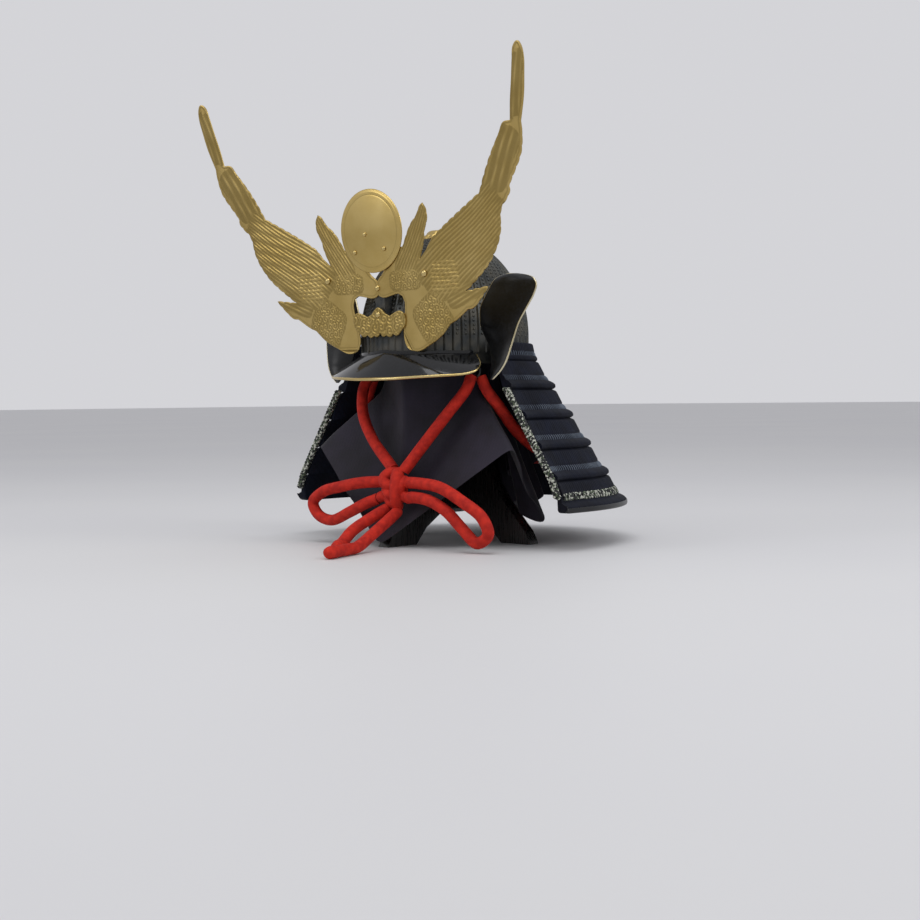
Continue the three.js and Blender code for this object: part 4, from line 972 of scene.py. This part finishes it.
def tooling(zones, x, z, mirror):
    # Height of the chased lines, each zone fading out at its rim
    raised = np.zeros(x.shape)
    for order, zone in enumerate(zones):
        dx, dz = mirror * x - zone["at"][0], z - zone["at"][1]
        turn = math.radians(zone["turn"])
        along = dx * math.cos(turn) + dz * math.sin(turn)
        across = -dx * math.sin(turn) + dz * math.cos(turn)
        inside = np.clip(1.25 * (1 - (np.abs(along) / zone["reach"][0]) ** 4
                                 - (np.abs(across) / zone["reach"][1]) ** 4), 0, 1)
        if zone["kind"] == "strokes":
            sag = stroke["sag"] * np.sin(along / stroke["sagLength"] + order)
            bend = sag + stroke["fan"] * along * across
            line = 0.5 + 0.5 * np.cos(2 * math.pi * (across + bend) / zone["pitch"])
            barbRun = along + stroke["barbSlant"] * np.abs(across % zone["pitch"])
            barbs = stroke["barbs"] * np.cos(2 * math.pi * barbRun / stroke["barbPitch"])
            row = np.floor(across / zone["pitch"])
            worn = 0.75 + stroke["worn"] * np.sin(along / stroke["wornLength"] + stroke["wornShift"] * row)
            line = line ** 3 * worn + barbs * (1 - line)
        else:
            line = np.clip(curlField(mirror * x, z, zone["pitch"], order), 0, 1)
        raised = np.maximum(raised, line * inside * zone["depth"])
    return raised


def frontOutline(node):
    # Ordered outline of a flat node's front face, in the helmet's millimetres
    solid = bmesh.new()
    solid.from_mesh(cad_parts[node].data)
    bmesh.ops.remove_doubles(solid, verts=solid.verts, dist=0.02 * millimetre)
    solid.normal_update()
    links = {}
    for edge in solid.edges:
        if sum(face.normal.y < -0.7 for face in edge.link_faces) == 1:
            for here, there in (edge.verts, reversed(edge.verts)):
                links.setdefault(here, []).append(there)
    loop = [next(iter(links))]
    before = None
    for _ in range(len(links) - 1):
        here = loop[-1]
        ahead = [vert for vert in links[here] if vert is not before]
        before = here
        loop.append(ahead[0])
    corners = np.array([[vert.co.x, vert.co.z] for vert in loop]) / millimetre
    solid.free()
    return corners


def smoothOutline(corners, spacing):
    # Curve through an outline's corners: round on its bumps, sharp in its valleys and at its barbs
    count = len(corners)
    before, after = corners - np.roll(corners, 1, 0), np.roll(corners, -1, 0) - corners
    swing = np.degrees(np.arctan2(before[:, 0] * after[:, 1] - before[:, 1] * after[:, 0],
                                  np.sum(before * after, axis=1)))
    swing *= np.sign(swing.sum())
    isSharp = (swing < -crest["valleyAngle"]) | (swing > crest["barbAngle"])
    flow = unit(unit(before) + unit(after))
    points = []
    for i in range(count):
        j = (i + 1) % count
        chord = after[i]
        length = np.linalg.norm(chord)
        start = chord if isSharp[i] else flow[i] * length
        end = chord if isSharp[j] else flow[j] * length
        t = np.linspace(0, 1, max(1, round(length / spacing)), endpoint=False)[:, None]
        points.append(corners[i] * (1 + 2 * t) * (1 - t) ** 2 + corners[j] * t ** 2 * (3 - 2 * t)
                      + start * t * (1 - t) ** 2 - end * t ** 2 * (1 - t))
    return np.vstack(points)


def awayFrom(outline, points):
    # Distance to an outline, and which points lie inside it
    distance = np.full(len(points), 1e9)
    inside = np.zeros(len(points), dtype=bool)
    for a, b in zip(outline, np.roll(outline, -1, 0)):
        side = b - a
        t = np.clip((points - a) @ side / max(side @ side, 1e-9), 0, 1)
        distance = np.minimum(distance, np.linalg.norm(points - a - t[:, None] * side, axis=1))
        crosses = (a[1] > points[:, 1]) != (b[1] > points[:, 1])
        with np.errstate(divide="ignore", invalid="ignore"):
            hit = a[0] + (points[:, 1] - a[1]) / (b[1] - a[1]) * side[0]
        inside ^= crosses & (points[:, 0] < hit)
    return distance, inside


def fillOutline(outline, inner):
    count = len(outline)
    points = [Vector(p) for p in [*outline, *inner]]
    edges = [(i, (i + 1) % count) for i in range(count)]
    verts, _, faces, sources, *_ = delaunay_2d_cdt(points, edges, [], 1, 1e-5)
    place = {source: k for k, group in enumerate(sources) for source in group}
    return np.array([list(v) for v in verts]), faces, [place[i] for i in range(count)]


# Where the feathered edges carry lobes: the long wing outside wingX, and the small feather inside featherX
lobes = {
    "pitch": 12.5, "depth": 1.5, "wingX": 92, "wingLowZ": 300, "wingTopZ": 500,
    "featherZ": 365, "featherX": 98, "featherShare": 0.6,
}


def fadeIn(past, reach):
    return np.clip(past / reach, 0, 1)


def scalloped(outline, mirror):
    # Round lobes with sharp valleys, one per barb, along the feathered edges of a wing
    run = runAlong(outline)
    x, z = mirror * outline[:, 0], outline[:, 1]
    longWing = fadeIn(x - lobes["wingX"], 12) * fadeIn(z - lobes["wingLowZ"], 20)
    longWing = longWing * fadeIn(lobes["wingTopZ"] - z, 25)
    smallFeather = fadeIn(z - lobes["featherZ"], 15) * (x < lobes["featherX"]) * lobes["featherShare"]
    lobe = np.sqrt(np.abs(np.sin(run / lobes["pitch"] * math.pi)))
    along = unit(np.roll(outline, -1, 0) - np.roll(outline, 1, 0))
    area = np.sum(outline[:, 0] * np.roll(outline[:, 1], -1) - outline[:, 1] * np.roll(outline[:, 0], -1))
    outward = np.stack([along[:, 1], -along[:, 0]], -1) * np.sign(area)
    depth = lobes["depth"] * (lobe - 0.6) * np.maximum(longWing, smallFeather)
    return outline + outward * depth[:, None]


def addTooledPlate(name, node, faceY, zones, mirror, wall, swell):
    outline = smoothOutline(frontOutline(node), crest["outlineStep"])
    if zones is wingZones:
        outline = scalloped(outline, mirror)
    low, high = outline.min(0), outline.max(0)
    grid = crest["grid"]
    columns, rows = np.arange(low[0], high[0], grid), np.arange(low[1], high[1], grid * 0.87)
    spotX, spotZ = np.meshgrid(columns, rows, indexing="ij")
    spotX = spotX + np.where(np.arange(len(rows)) % 2, grid / 2, 0)[None, :]
    spots = np.stack([spotX.ravel(), spotZ.ravel()], -1)
    distance, inside = awayFrom(outline, spots)
    front, frontFaces, frontRing = fillOutline(outline, spots[inside & (distance > grid * 0.6)])
    back, backFaces, backRing = fillOutline(outline, [])
    distance, _ = awayFrom(outline, front)
    x, z = front[:, 0], front[:, 1]
    chased = tooling(zones, x, z, mirror)
    lines = chased * fadeIn(distance - 1.4, 1.5)
    bead = crest["bead"] * np.exp(-((distance - crest["beadAt"]) / crest["beadWidth"]) ** 2)
    raised = lines + bead * (distance > 0.3) + swell * (1 - np.exp(-distance / crest["swellReach"]))
    # Painted shade: the colour is darker at the foot of the edge bead and on the ground between the lines of
    # each zone; each zone's ground is found as one stroke covers it
    grounds = [{**zone, "kind": "strokes", "pitch": 1e6} for zone in zones]
    isGround = tooling(grounds, x, z, mirror) > 0.1
    beadFootShade = 0.5 * np.exp(-((distance - crest["beadFootShadeAt"]) / crest["beadFootShadeWidth"]) ** 2)
    groundShade = np.clip(crest["groundShadeDepth"] - chased * 1.5, 0, crest["groundShadeDepth"])
    paintedShade = np.maximum(beadFootShade, groundShade * isGround)
    frontPoints = np.stack([x, faceY(x, z) - raised, z], -1)
    backPoints = np.stack([back[:, 0], faceY(back[:, 0], back[:, 1]) + wall, back[:, 1]], -1)
    start = len(front)
    pairs = list(zip(frontRing, backRing))
    rim = [[a, c, start + d, start + b] for (a, b), (c, d) in zip(pairs, pairs[1:] + pairs[:1])
           if a != c and b != d]
    faces = [list(f) for f in frontFaces] + [[start + i for i in f][::-1] for f in backFaces] + rim
    paintedShades = np.concatenate([paintedShade, np.zeros(len(back))])
    addPiece(name, np.vstack([frontPoints, backPoints]), faces, "gilt", "gilt", [node], 60, paintedShades)


for wingName, wingMirror in (("left", 1), ("right", -1)):
    addTooledPlate("feather_wing_" + wingName, "crest_wing_" + wingName, crestFaceY, wingZones, wingMirror,
                   crest["wall"], crest["swell"])
scrollLow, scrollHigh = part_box("crest_base")


def scrollFaceY(x, z):
    lean = crest["lean"] * (z - scrollHigh.z / millimetre)
    return (scrollLow.y - shiftY) / millimetre - lean


addTooledPlate("scroll_base", "crest_base", scrollFaceY, scrollZones, 1,
               crest["scrollWall"], crest["scrollSwell"])
print("crest wings tooled")


def turned(centre, rings, columns):
    # Round body on the crest's leaning axis, from the radius and height of each ring
    tilt = math.atan(crest["lean"])
    axis = np.array([0.0, -math.cos(tilt), -math.sin(tilt)])
    up = np.array([0.0, -math.sin(tilt), math.cos(tilt)])
    turns = np.arange(columns) / columns * 2 * math.pi
    circle = np.cos(turns)[:, None] * np.array([1.0, 0, 0]) + np.sin(turns)[:, None] * up
    return lofted(np.stack([centre + circle * radius + axis * np.broadcast_to(height, turns.shape)[:, None]
                            for radius, height in rings]))


# The border is a turned line with a row of fine beads outside it, at shares of the radius
disc = {
    "radius": 53.0, "edge": 1.8, "dome": 4.0, "columns": 180, "faceRings": 30, "borderRings": 26,
    "lineAt": 0.86, "lineWidth": 0.012, "lineDepth": 0.16, "lineShade": 0.3,
    "beadAt": 0.925, "beadWidth": 0.025, "beadHeight": 0.3, "beads": 90,
    "back": ((1.0, 0.8), (1.0, 0.2), (0.985, 0.0), (0.4, 0.0)),
}


def addDisc():
    low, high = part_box("crest_disc")
    backY = (high.y - shiftY) / millimetre - math.sin(math.atan(crest["lean"])) * disc["radius"] * 0.97
    centre = np.array([0.0, backY, (low.z + high.z) / 2 / millimetre])
    columns = int(disc["columns"] * fine)
    turns = np.arange(columns) / columns * 2 * math.pi
    shares = np.concatenate([np.linspace(0.02, 0.8, int(disc["faceRings"] * fine)),
                             np.linspace(0.81, 0.985, int(disc["borderRings"] * fine))])
    rings, paintedShades = [], []
    for share in shares:
        line = math.exp(-((share - disc["lineAt"]) / disc["lineWidth"]) ** 2)
        bead = math.exp(-((share - disc["beadAt"]) / disc["beadWidth"]) ** 2)
        height = disc["edge"] + disc["dome"] * (1 - share ** 2) - disc["lineDepth"] * line
        height = height + disc["beadHeight"] * bead * (0.5 + 0.5 * np.cos(turns * disc["beads"]))
        rings.append((disc["radius"] * share, height))
        # painted shade: the turned line is darkened in its groove
        paintedShades.append(np.full(columns, disc["lineShade"] * line))
    rings += [(disc["radius"] * share, disc["edge"] * rise) for share, rise in disc["back"]]
    paintedShades += [np.zeros(columns)] * len(disc["back"])
    addPiece("domed_disc", *turned(centre, rings, columns), "giltDisc", "gilt", ["crest_disc"], 60,
             np.concatenate(paintedShades))


addDisc()

# A round head, by shares of its radius: how wide and how high each ring is
stud = {
    "columns": 28, "sunk": 0.42,
    "rings": ((0.98, 0.0), (1.0, 0.12), (0.97, 0.3), (0.86, 0.5), (0.66, 0.68), (0.4, 0.8), (0.12, 0.85)),
}


def boxMiddle(node):
    low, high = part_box(node)
    middle = (np.array((low + high) / 2) - np.array([0, shiftY, 0])) / millimetre
    return middle, (high.x - low.x) / 2 / millimetre, (high.y - low.y) / 2 / millimetre


def addStud(node):
    middle, radius, _ = boxMiddle(node)
    rings = [(radius * wide, radius * (lift - stud["sunk"])) for wide, lift in stud["rings"]]
    addPiece(f"round_{node}", *turned(middle, rings, stud["columns"]), "giltRim", "gilt", [node])


for studNode in ("wing_stud_left", "wing_stud_right", "base_rivet_upper", "base_rivet_lower",
                 "disc_stud_1", "disc_stud_2", "disc_stud_3"):
    addStud(studNode)


ring = {"turnSteps": 40, "wireSteps": 12}


def addRing(node):
    middle, outer, wire = boxMiddle(node)
    turns, wireTurns = (np.arange(ring[key]) / ring[key] * 2 * math.pi for key in ("turnSteps", "wireSteps"))
    reach = outer - wire + wire * np.cos(wireTurns)[None, :]
    points = np.stack([middle[0] + np.cos(turns)[:, None] * reach,
                       middle[1] + wire * np.sin(wireTurns)[None, :] + 0 * turns[:, None],
                       middle[2] + np.sin(turns)[:, None] * reach], -1)
    faces = gridFaces(ring["turnSteps"], ring["wireSteps"], wrapRows=True, wrapColumns=True)
    addPiece(f"wire_{node}", points.reshape(-1, 3), faces, "iron", "iron", [node])


addRing("cord_ring_left")
addRing("cord_ring_right")

# Cloth: guide lines from the head's edge to the hem, as in the draped square
cloth = {
    "headHalfWidth": 80.0, "headHalfLength": 84.0, "headBaseZ": 290.0, "apex": 116.1, "wall": 1.3,
    "flatFrom": 0.45, "foldDepth": 46.0, "folds": 16, "rippleDepth": 0.88, "softening": 4,
    "foldsFrom": -20, "foldsFade": 30, "ripples": ((9.3, 0.6, 1.0), (17, 2.1, 0.6)),
    "halfColumns": 130, "fallRows": 64, "domeRows": 22, "topAngle": 89.0, "flatSide": 0.56,
}
fallShares = [0, 0.25, 0.5, 0.75, 0.9, 1]
clothGuides = [
    {"azimuth": -90, "reach": 134, "hemZ": 3, "grow": [0, 0.02, 0.03, 0.06, 0.45, 1]},
    {"azimuth": -23, "reach": 187, "hemZ": 130, "grow": [0, 0.01, 0.1, 0.55, 0.84, 1]},
    {"azimuth": 4, "reach": 166, "hemZ": 27, "grow": [0, 0.1, 0.35, 0.65, 0.86, 1]},
    {"azimuth": 47, "reach": 128, "hemZ": 112, "grow": [0, 0.1, 0.35, 0.66, 0.88, 1]},
    {"azimuth": 90, "reach": 172, "hemZ": 9, "grow": [0, 0.12, 0.34, 0.62, 0.84, 1]},
]


def domePoint(turn, elevation, inset):
    spreadShare = np.cos(elevation)
    return np.stack([
        np.cos(turn) * (cloth["headHalfWidth"] - inset) * spreadShare,
        bowl["axisY"] + np.sin(turn) * (cloth["headHalfLength"] - inset) * spreadShare,
        cloth["headBaseZ"] + np.sin(elevation) * (cloth["apex"] - inset),
    ], -1)


def guidePoint(guide, share):
    grow = smoothRow(fallShares, guide["grow"], share)
    turn = math.radians(guide["azimuth"])
    start = domePoint(np.array(turn), np.array(0.0), 0.0)
    headReach = math.hypot(start[0], start[1] - bowl["axisY"])
    reach = headReach + (guide["reach"] - headReach) * grow
    return np.stack([math.cos(turn) * reach, bowl["axisY"] + math.sin(turn) * reach,
                     cloth["headBaseZ"] + (guide["hemZ"] - cloth["headBaseZ"]) * share], -1)


def clothSide(along, shares, inset):
    # One line down the fall: along runs over the guides, from the front corner to the rear one
    index = min(len(clothGuides) - 2, int(along))
    within = along - index
    fromGuide, toGuide = clothGuides[index], clothGuides[index + 1]
    flat = guidePoint(fromGuide, shares) * (1 - within) + guidePoint(toGuide, shares) * within
    azimuth = fromGuide["azimuth"] + (toGuide["azimuth"] - fromGuide["azimuth"]) * within
    turn = math.radians(azimuth)
    roundPoint = domePoint(np.array(turn), np.array(0.0), 0.0)
    roundReach = math.hypot(roundPoint[0], roundPoint[1] - bowl["axisY"])
    flatX, flatY = flat[:, 0], flat[:, 1] - bowl["axisY"]
    flatReach = np.hypot(flatX, flatY)
    blend = np.minimum(1, shares / cloth["flatFrom"])
    facing = turn + (np.arctan2(flatY, flatX) - turn) * blend
    reach = np.maximum(roundReach + (flatReach - roundReach) * blend, flatReach)
    rear = fadeIn(azimuth - cloth["foldsFrom"], cloth["foldsFade"])
    fold = 0.5 - 0.5 * math.cos(cloth["folds"] * turn)
    soft = sum(share * math.sin(count * turn + shift) for count, shift, share in cloth["ripples"])
    reach = reach - cloth["foldDepth"] * shares ** 1.2 * rear * fold - cloth["rippleDepth"] * shares * soft
    return turn, facing, reach - inset, flat[:, 2]


def addCloth():
    half = int(cloth["halfColumns"] * fine)
    shares = np.linspace(0, 1, int(cloth["fallRows"] * fine))[1:]
    domes = np.radians(np.linspace(cloth["topAngle"], 0, int(cloth["domeRows"] * fine)))
    layers = []
    for inset in (0.0, cloth["wall"]):
        lines = []
        for step in range(2 * half):
            hand = 1 if step < half else -1
            along = (step if step < half else 2 * half - step) / half * (len(clothGuides) - 1)
            turn, facing, reach, z = clothSide(along, shares, inset)
            dome = domePoint(np.full(domes.shape, turn), domes, inset)
            fall = np.stack([np.cos(facing) * reach, bowl["axisY"] + np.sin(facing) * reach, z], -1)
            line = np.vstack([dome, fall])
            line[:, 0] *= hand
            lines.append(line)
        layers.append(np.stack(lines, 1))
    # the crease at each guide is softened by averaging neighbours a few times
    for layer in layers:
        for _ in range(int(cloth["softening"] * fine)):
            layer[:] = 0.5 * layer + 0.25 * (np.roll(layer, 1, 1) + np.roll(layer, -1, 1))
    points, faces = slab(layers[0], layers[1], wrap=True)
    rows, columns = layers[0].shape[:2]
    faces = faces.tolist()
    top = [list(range(columns))[::-1], [rows * columns + i for i in range(columns)]]
    # the small hole at the apex closes with one face on each layer, in place of its edge band
    band = set(range(columns)) | {rows * columns + i for i in range(columns)}
    faces = [f for f in faces if not set(f) <= band] + top
    piece = addPiece("draped_cloth", points, faces, "cloth", "cloth", ["cloth"], 80)
    area = sum(polygon.area for polygon in piece.data.polygons) / 2
    print("cloth area, one layer, square metres:", round(area, 4))


addCloth()

for nodeName, finish in {
    "waist_band": "iron", "crest_post": "iron", "stand_board_long": "wood", "stand_board_cross": "wood",
    "stand_head": "wood",
}.items():
    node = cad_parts[nodeName]
    if not node.material_slots:
        node.data.materials.append(finishes[finish])
    for slot in node.material_slots:
        slot.material = finishes[finish]

studio = {
    "floorReach": 40.0, "floorColours": ("#c6c6c9", "#cecece"), "floorRoughness": 0.6, "floorPatches": 900,
    "worldColour": "#e4e4e8", "worldStrength": 0.85, "aim": (0, 0, 0.3),
}
# Soft lamps: place, side in metres and power in watts
lamps = {
    "ceilingLight": ((0.6, -0.8, 2.6), 1.8, 27),
    "sideLight": ((2.4, 0.4, 1.6), 0.9, 12),
    "frontLight": ((-1.2, -2.4, 1.5), 1.0, 10),
}


def addArea(name, place, size, power):
    light = bpy.data.lights.new(name, "AREA")
    light.size, light.energy = size, power
    lamp = bpy.data.objects.new(name, light)
    lamp.location = place
    lamp.rotation_euler = (Vector(studio["aim"]) - Vector(place)).to_track_quat("-Z", "Y").to_euler()
    bpy.context.scene.collection.objects.link(lamp)


def addStudio():
    reach = studio["floorReach"]
    mesh = bpy.data.meshes.new("studio_floor")
    mesh.from_pydata([(-reach, -reach, 0), (reach, -reach, 0), (reach, reach, 0), (-reach, reach, 0)], [],
                     [(0, 1, 2, 3)])
    material, tree, spot = newMaterial("matteFloorPaint")     # matt pale floor paint, very faintly uneven
    uneven = noise(tree, spot, studio["floorPatches"], 2.0)
    colour = blendColours(tree, uneven, *studio["floorColours"])
    closeMaterial(tree, {"Base Color": colour, "Roughness": studio["floorRoughness"]})
    mesh.materials.append(material)
    floor = bpy.data.objects.new("studio_floor", mesh)
    bpy.context.scene.collection.objects.link(floor)
    world = bpy.data.worlds.new("studio_world")
    world.use_nodes = True
    background = world.node_tree.nodes["Background"]
    background.inputs["Color"].default_value = srgb(studio["worldColour"])
    background.inputs["Strength"].default_value = studio["worldStrength"]
    bpy.context.scene.world = world
    for name, (place, size, power) in lamps.items():
        addArea(name, place, size, power)
    bpy.context.scene.view_settings.view_transform = "Standard"


addStudio()
